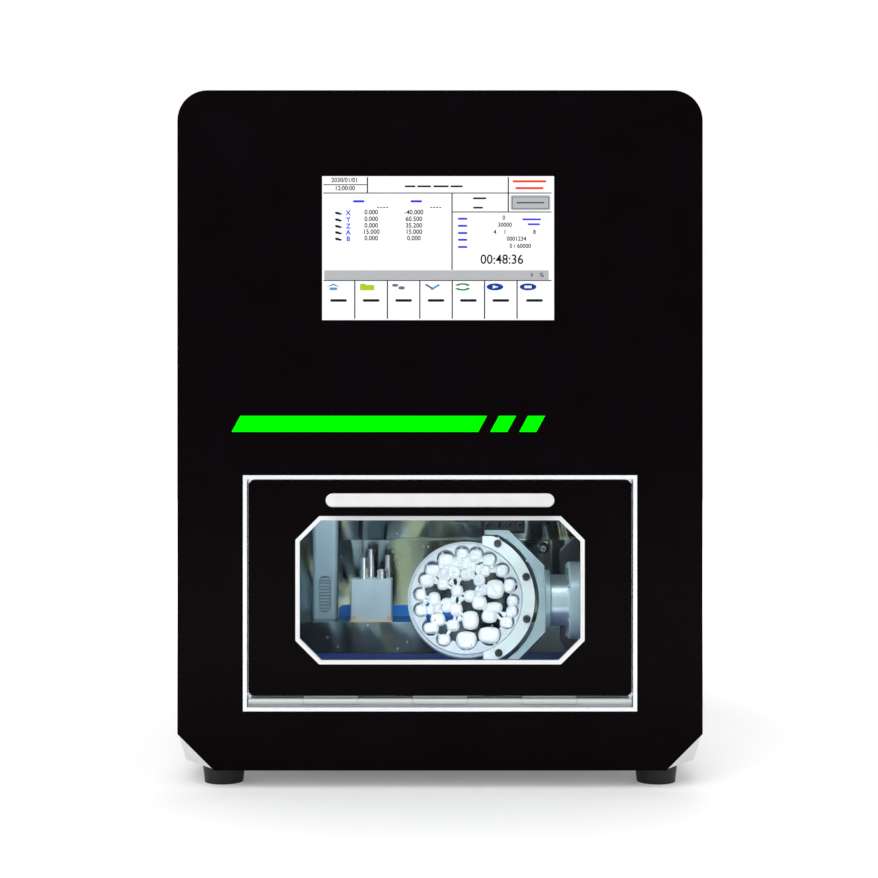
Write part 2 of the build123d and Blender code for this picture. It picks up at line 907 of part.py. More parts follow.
# Suction duct: a hollow column on the ledge with a slot at its foot and a collar to the rear
duct_wall = 1.6
duct_depth = back_low - duct_front
slot_low = ledge_top + duct_slot_low
slot_high = ledge_top + duct_slot_high
collar_radius = duct_width / 2 - 1.0
with BuildPart() as suction_duct:
    with BuildSketch(Plane.XY.offset(ledge_top)):
        with Locations((duct_x, duct_front + duct_depth / 2)):
            RectangleRounded(duct_width, duct_depth, duct_corner)
            RectangleRounded(
                duct_width - 2 * duct_wall,
                duct_depth - 2 * duct_wall,
                duct_corner - duct_wall,
                mode=Mode.SUBTRACT,
            )
    extrude(amount=chamber_top - ledge_top)
    with BuildSketch(front_plane(duct_front)):
        with Locations((duct_x, (slot_low + slot_high) / 2)):
            SlotOverall(slot_high - slot_low, duct_slot_width, rotation=90)
    extrude(amount=-duct_depth / 2, mode=Mode.SUBTRACT)
    with BuildSketch(front_plane(back_low - duct_wall)):
        with Locations((duct_x, pipe_z)):
            Circle(collar_radius)
    extrude(amount=-(back_high - back_low + duct_wall))
    with BuildSketch(front_plane(back_low - 2 * duct_wall)):
        with Locations((duct_x, pipe_z)):
            Circle(collar_radius - duct_wall)
    extrude(amount=-(back_high - back_low + 2 * duct_wall), mode=Mode.SUBTRACT)
suction_duct.part.label = "suction_duct"
export_step(suction_duct.part, "parts/suction_duct.step")

# Dust pipe: from behind the chamber through the rear panel to a spigot for a suction hose
flange_radius = 27.0
flange_thick = 3.0
bead = 1.2
with BuildPart() as dust_pipe:
    with BuildSketch(Plane.YZ.offset(duct_x)):
        with BuildLine():
            end = rear_face + spigot_reach
            Polyline(
                (chamber_back, pipe_z + pipe_radius - pipe_wall),
                (chamber_back, pipe_z + pipe_radius + pipe_collar),
                (chamber_back + flange_thick, pipe_z + pipe_radius + pipe_collar),
                (chamber_back + flange_thick, pipe_z + pipe_radius),
                (rear_face, pipe_z + pipe_radius),
                (rear_face, pipe_z + flange_radius),
                (rear_face + flange_thick, pipe_z + flange_radius),
                (rear_face + flange_thick, pipe_z + spigot_radius),
                (end - bead, pipe_z + spigot_radius),
                (end, pipe_z + spigot_radius - bead),
                (end, pipe_z + pipe_radius - pipe_wall),
                close=True,
            )
        make_face()
    revolve(axis=Axis((duct_x, 0, pipe_z), (0, 1, 0)))
dust_pipe.part.label = "dust_pipe"
export_step(dust_pipe.part, "parts/dust_pipe.step")

# Chamber lamp: a light strip under the front edge of the roof
with BuildPart() as chamber_lamp:
    with BuildSketch(side_plane(-lamp_half)):
        with BuildLine():
            lamp_front = chamber_front + lamp_size
            Polyline(
                (lamp_front, chamber_top),
                (lamp_front, chamber_top - lamp_size / 2),
                (lamp_front + lamp_size / 2, chamber_top - lamp_size),
                (lamp_front + 1.5 * lamp_size, chamber_top - lamp_size),
                (lamp_front + 1.5 * lamp_size, chamber_top),
                close=True,
            )
        make_face()
    extrude(amount=2 * lamp_half)
chamber_lamp.part.label = "chamber_lamp"
export_step(chamber_lamp.part, "parts/chamber_lamp.step")

# Air nozzle: a stepped steel nozzle that blows from the low wall towards the blank
with BuildPart() as air_nozzle:
    with BuildSketch(Plane.YZ.offset(nozzle_x)):
        with BuildLine():
            tip = back_low - nozzle_reach
            Polyline(
                (back_low, nozzle_z + nozzle_bore),
                (back_low, nozzle_z + nozzle_radius),
                (back_low - nozzle_reach / 2, nozzle_z + nozzle_radius),
                (tip, nozzle_z + nozzle_radius / 2),
                (tip, nozzle_z + nozzle_bore),
                close=True,
            )
        make_face()
    revolve(axis=Axis((nozzle_x, 0, nozzle_z), (0, 1, 0)))
air_nozzle.part.label = "air_nozzle"
export_step(air_nozzle.part, "parts/air_nozzle.step")

# Ioniser: a dark bar on the high wall that clears static from the dust
with BuildPart() as ioniser:
    slab(
        ioniser_x - ioniser_width / 2,
        ioniser_x + ioniser_width / 2,
        back_high - ioniser_depth,
        back_high,
        ioniser_z - ioniser_height / 2,
        ioniser_z + ioniser_height / 2,
    )
    chamfer(faces().sort_by(Axis.Y)[0].edges(), length=ioniser_chamfer)
ioniser.part.label = "ioniser"
export_step(ioniser.part, "parts/ioniser.step")

# Tool magazine: a block on the ledge with a hole for each bur, and the burs in two rows
front_row_y = block_front + block_depth / 2 - bur_row_pitch / 2
back_row_y = front_row_y + bur_row_pitch
bur_places = [
    (bur_front_x + shift + side * bur_pitch / 2, row_y)
    for shift, row_y in ((0, front_row_y), (bur_row_shift, back_row_y))
    for side in (-1, 1)
]
block_chamfer = 1.2
with BuildPart() as tool_block:
    slab(
        block_x - block_width / 2,
        block_x + block_width / 2,
        block_front,
        block_front + block_depth,
        ledge_top,
        block_top,
    )
    chamfer(edges().filter_by(Axis.Z), length=block_chamfer)
    with BuildSketch(Plane.XY.offset(block_top)):
        with Locations(*bur_places):
            Circle(bur_shank_radius + running)
    extrude(amount=-bur_depth - bur_clear, mode=Mode.SUBTRACT)
tool_block.part.label = "tool_block"
export_step(tool_block.part, "parts/tool_block.step")

with BuildPart() as milling_burs:
    for bur_x, bur_y in bur_places:
        with BuildSketch(Plane(origin=(bur_x, bur_y, 0), x_dir=(1, 0, 0), z_dir=(0, -1, 0))):
            with BuildLine():
                Polyline(
                    (0, bur_top),
                    (bur_shank_radius - bur_chamfer, bur_top),
                    (bur_shank_radius, bur_top - bur_chamfer),
                    (bur_shank_radius, block_top + bur_collar_height),
                    (bur_collar_radius, block_top + bur_collar_height),
                    (bur_collar_radius, block_top),
                    (bur_shank_radius, block_top),
                    (bur_shank_radius, block_top - bur_depth / 2),
                    (bur_tip_radius, block_top - bur_depth / 2 - bur_taper),
                    (bur_tip_radius, block_top - bur_depth),
                    (0, block_top - bur_depth),
                    close=True,
                )
            make_face()
        revolve(axis=Axis((bur_x, bur_y, 0), (0, 0, 1)))
milling_burs.part.label = "milling_burs"
export_step(milling_burs.part, "parts/milling_burs.step")

# Tilting drive: a faceted housing on the right wall, whose boss goes through to the side frame
with BuildPart() as a_axis_housing:
    for x, across in ((chamber_half, a_housing_size), (a_housing_left, a_housing_face)):
        with BuildSketch(side_plane(x)):
            with Locations((a_axis_y, a_axis_z)):
                RegularPolygon(across / 2, 8, major_radius=False, rotation=22.5)
    loft()
    with BuildSketch(side_plane(chamber_half)):
        with Locations((a_axis_y, a_axis_z)):
            Circle(a_boss_radius)
    extrude(amount=frame_inner - chamber_half)
    with BuildSketch(side_plane(a_housing_left)):
        with Locations((a_axis_y, a_axis_z)):
            Circle(a_stub_radius + running)
    extrude(amount=a_stub_length, mode=Mode.SUBTRACT)
a_axis_housing.part.label = "a_axis_housing"
export_step(a_axis_housing.part, "parts/a_axis_housing.step")

# Motors fixed in the cabinet: the flat one of the tilting axis and the one of the long screw
y_motor_front = y_back_support + support_thick / 2
with BuildPart() as cabinet_motors:
    with BuildSketch(side_plane(frame_outer)):
        with Locations((a_axis_y, a_axis_z)):
            Circle(a_motor_radius)
    extrude(amount=a_motor_length)
    chamfer(faces().sort_by(Axis.X)[-1].edges(), length=a_motor_chamfer)
    with BuildSketch(front_plane(y_motor_front)):
        with Locations((y_screw_x, y_screw_z)):
            Rectangle(motor_size, motor_size)
            Circle(screw_radius + apart, mode=Mode.SUBTRACT)
    extrude(amount=-motor_length)
cabinet_motors.part.label = "cabinet_motors"
export_step(cabinet_motors.part, "parts/cabinet_motors.step")

with BuildPart() as y_screw:
    with BuildSketch(front_plane(y_front_support - support_thick / 2)):
        with Locations((y_screw_x, y_screw_z)):
            Circle(screw_radius)
    extrude(amount=-(y_motor_front + motor_length / 2 - y_front_support + support_thick / 2))
y_screw.part.label = "y_screw"
export_step(y_screw.part, "parts/y_screw.step")


# Gantry: a beam across the cabinet, with end plates, feet, blocks on the long rails and a nut
beam_end_y = (beam_front + beam_back) / 2
foot_y0 = beam_end_y - beam_foot_length / 2
foot_y1 = beam_end_y + beam_foot_length / 2
nut_half = support_margin
foot_reach = y_rail_x + block_size / 2 + block_margin
pocket_height = x_rail_pitch - rail_width - 2 * block_margin
with BuildPart() as gantry_beam:
    with BuildSketch(side_plane(-frame_inner)):
        with Locations(((beam_front + beam_back) / 2, beam_middle_z)):
            Rectangle(beam_depth, beam_height)
        with Locations((beam_front + beam_pocket / 2, beam_middle_z)):
            Rectangle(beam_pocket, pocket_height, mode=Mode.SUBTRACT)
    extrude(amount=2 * frame_inner)
    for left in (-frame_inner, beam_end_inner):
        with BuildSketch(side_plane(left)):
            with BuildLine():
                Polyline(
                    (foot_y0, block_face),
                    (foot_y1, block_face),
                    (foot_y1, block_face + beam_foot_thick),
                    (beam_back, beam_bottom + beam_height),
                    (foot_y0, beam_bottom + beam_height),
                    close=True,
                )
            make_face()
            with Locations((x_screw_y, beam_middle_z)):
                Circle(screw_radius + running, mode=Mode.SUBTRACT)
        extrude(amount=beam_end_thick)
    slab(beam_end_inner, foot_reach, foot_y0, foot_y1, block_face, block_face + beam_foot_thick)
    slab(
        y_screw_x - nut_half,
        -beam_end_inner,
        foot_y0,
        foot_y1,
        block_face,
        block_face + beam_foot_thick,
    )
    with BuildSketch(front_plane(beam_end_y - guide_block_length / 2)):
        with Locations((y_screw_x, (block_face + beam_foot_thick + y_screw_z) / 2)):
            Rectangle(2 * nut_half, y_screw_z - block_face - beam_foot_thick)
        with Locations((y_screw_x, y_screw_z)):
            Circle(nut_half)
    extrude(amount=-guide_block_length)
    for side in (-1, 1):
        with BuildSketch(front_plane(foot_y0)):
            with Locations((side * y_rail_x, frame_top + block_lift + block_height / 2)):
                Rectangle(block_size, block_height)
            with Locations((side * y_rail_x, frame_top + rail_height / 2)):
                Rectangle(rail_width + 2 * apart, rail_height + 2 * apart, mode=Mode.SUBTRACT)
        extrude(amount=-beam_foot_length)
    with BuildSketch(front_plane(foot_y0)):
        with Locations((y_screw_x, y_screw_z)):
            Circle(screw_radius + running)
    extrude(amount=-beam_foot_length, mode=Mode.SUBTRACT)
gantry_beam.part.label = "gantry_beam"
export_step(gantry_beam.part, "parts/gantry_beam.step")

# Cross rails on the beam's front
with BuildPart() as x_rails:
    with BuildSketch(side_plane(-beam_end_inner)):
        for z in (beam_middle_z - x_rail_pitch / 2, beam_middle_z + x_rail_pitch / 2):
            with Locations((beam_front - rail_height / 2, z)):
                Rectangle(rail_height, rail_width)
    extrude(amount=2 * beam_end_inner)
    chamfer(edges().filter_by(Axis.X).group_by(Axis.Y)[0], length=rail_chamfer)
x_rails.part.label = "x_rails"
export_step(x_rails.part, "parts/x_rails.step")

with BuildPart() as x_motor:
    with BuildSketch(side_plane(frame_inner)):
        with Locations((x_screw_y, beam_middle_z)):
            Rectangle(motor_size, motor_size)
            Circle(screw_radius + apart, mode=Mode.SUBTRACT)
    extrude(amount=motor_length)
x_motor.part.label = "x_motor"
export_step(x_motor.part, "parts/x_motor.step")

with BuildPart() as x_screw:
    with BuildSketch(side_plane(-frame_inner)):
        with Locations((x_screw_y, beam_middle_z)):
            Circle(screw_radius)
    extrude(amount=2 * frame_inner + motor_length / 2)
x_screw.part.label = "x_screw"
export_step(x_screw.part, "parts/x_screw.step")

# Cross saddle: a tall plate with four blocks and a nut behind, a cap for the upright motor
# above and a bearing land below
cap_front = z_screw_y - motor_size / 2
with BuildPart() as x_saddle:
    with BuildSketch(front_plane(saddle_front)) as saddle_face:
        with Locations((spindle_x, (saddle_bottom + saddle_top) / 2)):
            Rectangle(2 * plate_half, saddle_top - saddle_bottom)
        chamfer(saddle_face.vertices().group_by(Axis.Y)[0], length=saddle_chamfer)
    extrude(amount=-saddle_thick)
    for z in (beam_middle_z - x_rail_pitch / 2, beam_middle_z + x_rail_pitch / 2):
        with BuildSketch(side_plane(spindle_x - plate_half)):
            with Locations((saddle_back + block_height / 2, z)):
                Rectangle(block_height, block_size)
            with Locations((beam_front - rail_height / 2, z)):
                Rectangle(rail_height + 2 * apart, rail_width + 2 * apart, mode=Mode.SUBTRACT)
        extrude(amount=2 * plate_half)
    slab(
        spindle_x - guide_block_length / 2,
        spindle_x + guide_block_length / 2,
        saddle_back,
        beam_front + beam_pocket - nut_gap,
        beam_middle_z - x_nut_half,
        beam_middle_z + x_nut_half,
    )
    with BuildSketch(side_plane(spindle_x - plate_half)):
        with Locations((x_screw_y, beam_middle_z)):
            Circle(screw_radius + running)
    extrude(amount=2 * plate_half, mode=Mode.SUBTRACT)
    slab(
        spindle_x - motor_size / 2,
        spindle_x + motor_size / 2,
        cap_front,
        saddle_back,
        saddle_top,
        saddle_top + z_cap_thick,
    )
    slab(
        spindle_x - z_nut_half,
        spindle_x + z_nut_half,
        z_plate_back + nut_gap,
        saddle_front,
        saddle_bottom,
        saddle_bottom + 2 * z_cap_thick,
    )
    with BuildSketch(Plane.XY.offset(saddle_bottom)):
        with Locations((spindle_x, z_screw_y)):
            Circle(z_screw_radius + running)
    extrude(amount=saddle_top + z_cap_thick - saddle_bottom, mode=Mode.SUBTRACT)
x_saddle.part.label = "x_saddle"
export_step(x_saddle.part, "parts/x_saddle.step")

# Upright rails on the saddle
z_rail_places = [spindle_x - z_rail_half_pitch, spindle_x + z_rail_half_pitch]
with BuildPart() as z_rails:
    with BuildSketch(Plane.XY.offset(saddle_bottom + saddle_chamfer)):
        for x in z_rail_places:
            with Locations((x, saddle_front - rail_height / 2)):
                Rectangle(rail_width, rail_height)
    extrude(amount=saddle_top - saddle_bottom - saddle_chamfer)
    chamfer(edges().filter_by(Axis.Z).group_by(Axis.Y)[0], length=rail_chamfer)
z_rails.part.label = "z_rails"
export_step(z_rails.part, "parts/z_rails.step")

z_motor_bottom = saddle_top + z_cap_thick
with BuildPart() as z_motor:
    with BuildSketch(Plane.XY.offset(z_motor_bottom)):
        with Locations((spindle_x, z_screw_y)):
            Rectangle(motor_size, motor_size)
            Circle(z_screw_radius + apart, mode=Mode.SUBTRACT)
    extrude(amount=motor_length)
z_motor.part.label = "z_motor"
export_step(z_motor.part, "parts/z_motor.step")

with BuildPart() as z_screw:
    with BuildSketch(Plane.XY.offset(saddle_bottom)):
        with Locations((spindle_x, z_screw_y)):
            Circle(z_screw_radius)
    extrude(amount=z_motor_bottom + motor_length / 2 - saddle_bottom)
z_screw.part.label = "z_screw"
export_step(z_screw.part, "parts/z_screw.step")

# Head plate: it slides on the upright rails with four blocks and a nut
z_block_starts = [z_plate_bottom + z_block_margin, z_plate_top - z_block_margin - guide_block_length]
z_nut_bottom = (z_plate_bottom + z_plate_top - z_nut_length) / 2
with BuildPart() as z_plate:
    with BuildSketch(front_plane(clamp_back)) as head_face:
        with Locations((spindle_x, (z_plate_bottom + z_plate_top) / 2)):
            Rectangle(2 * plate_half, z_plate_top - z_plate_bottom)
        chamfer(head_face.vertices(), length=z_plate_chamfer)
    extrude(amount=-z_plate_thick)
    for start in z_block_starts:
        with BuildSketch(Plane.XY.offset(start)):
            for x in z_rail_places:
                with Locations((x, z_plate_back + block_height / 2)):
                    Rectangle(block_size, block_height)
                with Locations((x, saddle_front - rail_height / 2)):
                    Rectangle(rail_width + 2 * apart, rail_height + 2 * apart, mode=Mode.SUBTRACT)
        extrude(amount=guide_block_length)
    slab(
        spindle_x - z_nut_half,
        spindle_x + z_nut_half,
        z_plate_back,
        saddle_front - nut_gap / 2,
        z_nut_bottom,
        z_nut_bottom + z_nut_length,
    )
    with BuildSketch(Plane.XY.offset(z_nut_bottom)):
        with Locations((spindle_x, z_screw_y)):
            Circle(z_screw_radius + running)
    extrude(amount=z_nut_length, mode=Mode.SUBTRACT)
z_plate.part.label = "z_plate"
export_step(z_plate.part, "parts/z_plate.step")

# Spindle clamp: a block bored for the spindle and slit at the front
clamp_half = spindle_radius + clamp_wall
with BuildPart() as spindle_clamp:
    with BuildSketch(Plane.XY.offset(clamp_bottom)):
        with Locations((spindle_x, (spindle_y + clamp_back) / 2)):
            Rectangle(2 * clamp_half, clamp_reach)
        with Locations((spindle_x, spindle_y)):
            Circle(clamp_half)
        with Locations((spindle_x, spindle_y - clamp_half)):
            Rectangle(4 * clamp_slot, 2 * clamp_wall)
        with Locations((spindle_x, spindle_y)):
            Circle(spindle_radius + running, mode=Mode.SUBTRACT)
        with Locations((spindle_x, spindle_y - clamp_half)):
            Rectangle(clamp_slot, 4 * clamp_wall, mode=Mode.SUBTRACT)
    extrude(amount=clamp_height)
spindle_clamp.part.label = "spindle_clamp"
export_step(spindle_clamp.part, "parts/spindle_clamp.step")

# Spindle housing: a turned cylinder with a narrow nose and a bore for the rotor
spindle_axis = Axis((spindle_x, spindle_y, 0), (0, 0, 1))
spindle_section = Plane(origin=(spindle_x, spindle_y, 0), x_dir=(1, 0, 0), z_dir=(0, -1, 0))
rotor_bottom = nose_z - rotor_proud
rotor_top = rotor_bottom + rotor_length
shoulder = 2.0
with BuildPart() as spindle_housing:
    with BuildSketch(spindle_section):
        with BuildLine():
            Polyline(
                (rotor_radius + running, nose_z),
                (nose_radius - shoulder, nose_z),
                (nose_radius, nose_z + shoulder),
                (nose_radius, nose_z + nose_length),
                (spindle_radius, nose_z + nose_length + 2 * shoulder),
                (spindle_radius, spindle_top - shoulder),
                (spindle_radius - shoulder, spindle_top),
                (0, spindle_top),
                (0, rotor_top + running),
                (rotor_radius + running, rotor_top + running),
                close=True,
            )
        make_face()
    revolve(axis=spindle_axis)
spindle_housing.part.label = "spindle_housing"
export_step(spindle_housing.part, "parts/spindle_housing.step")

# Spindle rotor with its collet, bored for a bur shank
with BuildPart() as spindle_rotor:
    with BuildSketch(spindle_section):
        with BuildLine():
            Polyline(
                (collet_radius, rotor_bottom),
                (rotor_radius - shoulder, rotor_bottom),
                (rotor_radius, rotor_bottom + shoulder / 2),
                (rotor_radius, rotor_top),
                (0, rotor_top),
                (0, rotor_bottom + collet_depth),
                (collet_radius, rotor_bottom + collet_depth),
                close=True,
            )
        make_face()
    revolve(axis=spindle_axis)
spindle_rotor.part.label = "spindle_rotor"
export_step(spindle_rotor.part, "parts/spindle_rotor.step")

# Tilting axis: one turned piece with the shaft to the yoke, the flange and the stub in the drive
a_shaft_left = disc_x + yoke_right
with BuildPart() as a_axis_flange:
    with BuildSketch(front_plane(a_axis_y)):
        with BuildLine():
            flange_right = a_flange_left + a_flange_thick
            Polyline(
                (a_shaft_left, a_axis_z),
                (a_shaft_left, a_axis_z + a_shaft_radius),
                (a_flange_left, a_axis_z + a_shaft_radius),
                (a_flange_left, a_axis_z + a_flange_radius - a_flange_chamfer),
                (a_flange_left + a_flange_chamfer, a_axis_z + a_flange_radius),
                (flange_right, a_axis_z + a_flange_radius),
                (flange_right, a_axis_z + a_stub_radius),
                (flange_right + a_stub_length, a_axis_z + a_stub_radius),
                (flange_right + a_stub_length, a_axis_z),
                close=True,
            )
        make_face()
    revolve(axis=Axis((0, a_axis_y, a_axis_z), (1, 0, 0)))
a_axis_flange.part.label = "a_axis_flange"
export_step(a_axis_flange.part, "parts/a_axis_flange.step")

# Yoke: an open frame round the holder, flat above and below and with cut right corners, bored
# for the two pivot pins
yoke_inner_half = ring_flat + yoke_gap
yoke_half = yoke_inner_half + yoke_arm
with BuildSketch() as yoke_hollow:
    Circle(ring_radius + yoke_side_gap)
    Rectangle(4 * ring_radius, 2 * yoke_inner_half, mode=Mode.INTERSECT)
yoke_void = yoke_hollow.sketch


def pivot_plane(side, reach):
    """The plane across one end of the swing axis, at reach from the tilting axis"""
    return Plane(
        origin=disc_plane.from_local_coords((pivot_x, side * reach, pivot_level)),
        x_dir=(1, 0, 0),
        z_dir=disc_plane.y_dir * side,
    )


with BuildPart() as yoke:
    with BuildSketch(disc_plane.offset(yoke_back)):
        with BuildLine():
            Polyline(
                (yoke_left, yoke_half),
                (yoke_flat_end, yoke_half),
                (yoke_right, yoke_corner_y),
                (yoke_right, -yoke_corner_y),
                (yoke_flat_end, -yoke_half),
                (yoke_left, -yoke_half),
                close=True,
            )
        make_face()
        add(yoke_void, mode=Mode.SUBTRACT)
    extrude(amount=yoke_front - yoke_back)
    for side in (-1, 1):
        with BuildSketch(pivot_plane(side, ring_flat - pivot_depth)):
            Circle(pivot_radius + running)
        extrude(amount=2 * (pivot_depth + yoke_arm), mode=Mode.SUBTRACT)
yoke.part.label = "yoke"
export_step(yoke.part, "parts/yoke.step")

# Pivot pins, one at each end of the swing axis
with BuildPart() as pivot_pins:
    for side in (-1, 1):
        with BuildSketch(pivot_plane(side, ring_flat - pivot_depth)):
            Circle(pivot_radius)
        extrude(amount=pivot_depth + yoke_gap + yoke_arm)
pivot_pins.part.label = "pivot_pins"
export_step(pivot_pins.part, "parts/pivot_pins.step")


# Holder: a C-shaped seat that takes the ledge of the blank, with a clamp ring screwed on it
def c_shape(bore):
    """The open ring round the blank's right side, with the bore that is asked for"""
    with BuildSketch() as shape:
        Circle(ring_radius)
        Rectangle(4 * ring_radius, 2 * ring_flat, mode=Mode.INTERSECT)
        with Locations((ring_cut_x + ring_radius, 0)):
            Rectangle(2 * ring_radius, 4 * ring_radius, mode=Mode.INTERSECT)
        Circle(bore, mode=Mode.SUBTRACT)
    return shape.sketch


ring_bore = disc_radius - ring_cover
seat_low = -disc_ledge / 2
seat_high = disc_ledge / 2
ring_face = seat_high + ring_thick
screw_end = pivot_level + pivot_radius + clamp_screw_clear
screw_places = [
    (
        clamp_screw_circle * math.cos(math.radians(angle)),
        clamp_screw_circle * math.sin(math.radians(angle)),
    )
    for angle in clamp_screw_angles
]
floor_shape = c_shape(ring_bore)
wall_shape = c_shape(disc_radius + running)
with BuildPart() as blank_holder:
    with BuildSketch(disc_plane.offset(seat_low - holder_floor)):
        add(floor_shape)
    extrude(amount=holder_floor)
    with BuildSketch(disc_plane.offset(seat_low)):
        add(wall_shape)
    extrude(amount=disc_ledge)
    for side in (-1, 1):
        with BuildSketch(pivot_plane(side, ring_flat - pivot_depth)):
            Circle(pivot_radius + running)
        extrude(amount=2 * pivot_depth, mode=Mode.SUBTRACT)
    with BuildSketch(disc_plane.offset(screw_end - clamp_hole_clear)):
        with Locations(*screw_places):
            Circle(clamp_screw_radius + running)
    extrude(amount=disc_ledge, mode=Mode.SUBTRACT)
blank_holder.part.label = "blank_holder"
export_step(blank_holder.part, "parts/blank_holder.step")

with BuildPart() as clamp_ring:
    with BuildSketch(disc_plane.offset(seat_high)):
        add(floor_shape)
        with Locations(*screw_places):
            Circle(clamp_screw_radius + running, mode=Mode.SUBTRACT)
    extrude(amount=ring_thick)
clamp_ring.part.label = "clamp_ring"
export_step(clamp_ring.part, "parts/clamp_ring.step")

with BuildPart() as clamp_screws:
    with BuildSketch(disc_plane.offset(screw_end)):
        with Locations(*screw_places):
            Circle(clamp_screw_radius)
    extrude(amount=ring_face - screw_end)
    with BuildSketch(disc_plane.offset(ring_face)):
        with Locations(*screw_places):
            Circle(clamp_head_radius)
            RegularPolygon(clamp_screw_radius, 6, mode=Mode.SUBTRACT)
    extrude(amount=clamp_head_height)
    with BuildSketch(disc_plane.offset(ring_face)):
        with Locations(*screw_places):
            Circle(clamp_head_radius)
    extrude(amount=clamp_head_height / 3)
clamp_screws.part.label = "clamp_screws"
export_step(clamp_screws.part, "parts/clamp_screws.step")

# Milled blank: a rim with a clamping ledge, and crowns in rings that hang on thin sprues
crown_rings = 3
crown_pitch = 13.0
crown_radius = 5.4
crown_waist = 0.6
crown_height = 6.5
crown_draft = 14.0
crown_kinds = 3
crown_facets = 7
crown_turn = 20.0
sprue_width = 2.4
sprue_thick = 2.4
crown_places = [(0.0, 0.0)]
links = []
for ring in range(1, crown_rings + 1):
    count = 6 * ring
    for number in range(count):
        turn = 2 * math.pi * number / count
        place = (ring * crown_pitch * math.cos(turn), ring * crown_pitch * math.sin(turn))
        inner = min(crown_places, key=lambda other: math.dist(other, place))
        links.append((inner, place))
        crown_places.append(place)
rim_inner = disc_radius - disc_step - rim_width
for number in range(crown_rings * 6):
    turn = 2 * math.pi * number / (crown_rings * 6)
    reach = rim_inner + rim_width / 2
    outer_crown = crown_rings * crown_pitch
    start = (outer_crown * math.cos(turn), outer_crown * math.sin(turn))
    links.append((start, (reach * math.cos(turn), reach * math.sin(turn))))
with BuildPart() as milled_blank:
    with BuildSketch(disc_plane.offset(-disc_thick / 2)):
        Circle(disc_radius - disc_step)
        Circle(rim_inner, mode=Mode.SUBTRACT)
    extrude(amount=disc_thick)
    with BuildSketch(disc_plane.offset(seat_low)):
        Circle(disc_radius)
        Circle(rim_inner, mode=Mode.SUBTRACT)
    extrude(amount=disc_ledge)
    with BuildSketch(disc_plane.offset(-sprue_thick / 2)):
        for start, stop in links:
            middle = ((start[0] + stop[0]) / 2, (start[1] + stop[1]) / 2)
            bearing = math.degrees(math.atan2(stop[1] - start[1], stop[0] - start[0]))
            with Locations(middle):
                Rectangle(math.dist(start, stop), sprue_width, rotation=bearing)
    extrude(amount=sprue_thick)
    for kind in range(crown_kinds):
        for sense in (-1, 1):
            with BuildSketch(disc_plane):
                with Locations(*crown_places[kind::crown_kinds]):
                    radius = crown_radius - crown_waist * kind
                    RegularPolygon(radius, crown_facets, rotation=crown_turn * kind)
            extrude(amount=sense * (crown_height - kind), taper=crown_draft)
milled_blank.part.label = "milled_blank"
export_step(milled_blank.part, "parts/milled_blank.step")

# Rear panel: the sheet inside the cover's back edge, cut for the fan, the pipe and the sockets
inlet_hole = (42.0, 22.0)
switch_hole = (22.6, 28.4)
lan_size = (16.0, 13.5)
usb_size = (13.0, 6.0)
data_pitch = 26.0
air_stub_radius = 5.0
with BuildPart() as rear_panel:
    with BuildSketch(front_plane(panel_front)):
        add(cover_inside)
        with Locations((duct_x, pipe_z)):
            Circle(pipe_radius + running, mode=Mode.SUBTRACT)
        with Locations((inlet_x, socket_z)):
            Rectangle(*inlet_hole, mode=Mode.SUBTRACT)
        with Locations((inlet_x, switch_z)):
            Rectangle(*switch_hole, mode=Mode.SUBTRACT)
        with Locations((data_x, socket_z)):
            Rectangle(*lan_size, mode=Mode.SUBTRACT)
        with Locations((data_x, socket_z + data_pitch)):
            Rectangle(*usb_size, mode=Mode.SUBTRACT)
        with Locations((air_x, socket_z)):
            Circle(air_stub_radius, mode=Mode.SUBTRACT)
        for number in range(vent_slots):
            rise = (number - (vent_slots - 1) / 2) * vent_pitch
            half = math.sqrt(fan_bore**2 - rise**2)
            with Locations((fan_x, fan_z + rise)):
                SlotOverall(2 * half - vent_slot_height, vent_slot_height, mode=Mode.SUBTRACT)
    extrude(amount=-sheet)
rear_panel.part.label = "rear_panel"
export_step(rear_panel.part, "parts/rear_panel.step")

# Fan: a square frame with three struts, and a rotor with pitched blades
fan_front = panel_front - fan_depth
with BuildPart() as fan_frame:
    with BuildSketch(front_plane(fan_front)):
        with Locations((fan_x, fan_z)):
            RectangleRounded(fan_size, fan_size, fan_corner)
            Circle(fan_bore, mode=Mode.SUBTRACT)
    extrude(amount=-fan_depth)
    with BuildSketch(front_plane(fan_front)):
        with Locations((fan_x, fan_z)):
            Circle(fan_hub)
            for turn in (30, 90, 150):
                Rectangle(2 * fan_bore + fan_strut, fan_strut, rotation=turn)
    extrude(amount=-fan_strut)
fan_frame.part.label = "fan_frame"
export_step(fan_frame.part, "parts/fan_frame.step")

blade_pitch = 35.0
blade_chord = 12.0
blade_thick = 1.2
blade_root = 1.0
rotor_front = fan_front + fan_strut + apart
hub_length = fan_depth - fan_strut - fan_back_gap
blade_length = fan_tip - fan_hub + blade_root
with BuildPart() as fan_rotor:
    with BuildSketch(front_plane(rotor_front)):
        with Locations((fan_x, fan_z)):
            Circle(fan_hub)
    extrude(amount=-hub_length)
    for number in range(fan_blades):
        turn = 2 * math.pi * number / fan_blades
        radial = Vector(math.cos(turn), 0, math.sin(turn))
        tangent = Vector(-math.sin(turn), 0, math.cos(turn))
        lean = math.radians(blade_pitch)
        chord = tangent * math.cos(lean) + Vector(0, 1, 0) * math.sin(lean)
        centre = (fan_x, rotor_front + hub_length / 2, fan_z)
        with BuildSketch(Plane(origin=centre, x_dir=radial, z_dir=radial.cross(chord))):
            with Locations((fan_hub - blade_root + blade_length / 2, 0)):
                Rectangle(blade_length, blade_chord)
        extrude(amount=blade_thick / 2, both=True)
fan_rotor.part.label = "fan_rotor"
export_step(fan_rotor.part, "parts/fan_rotor.step")

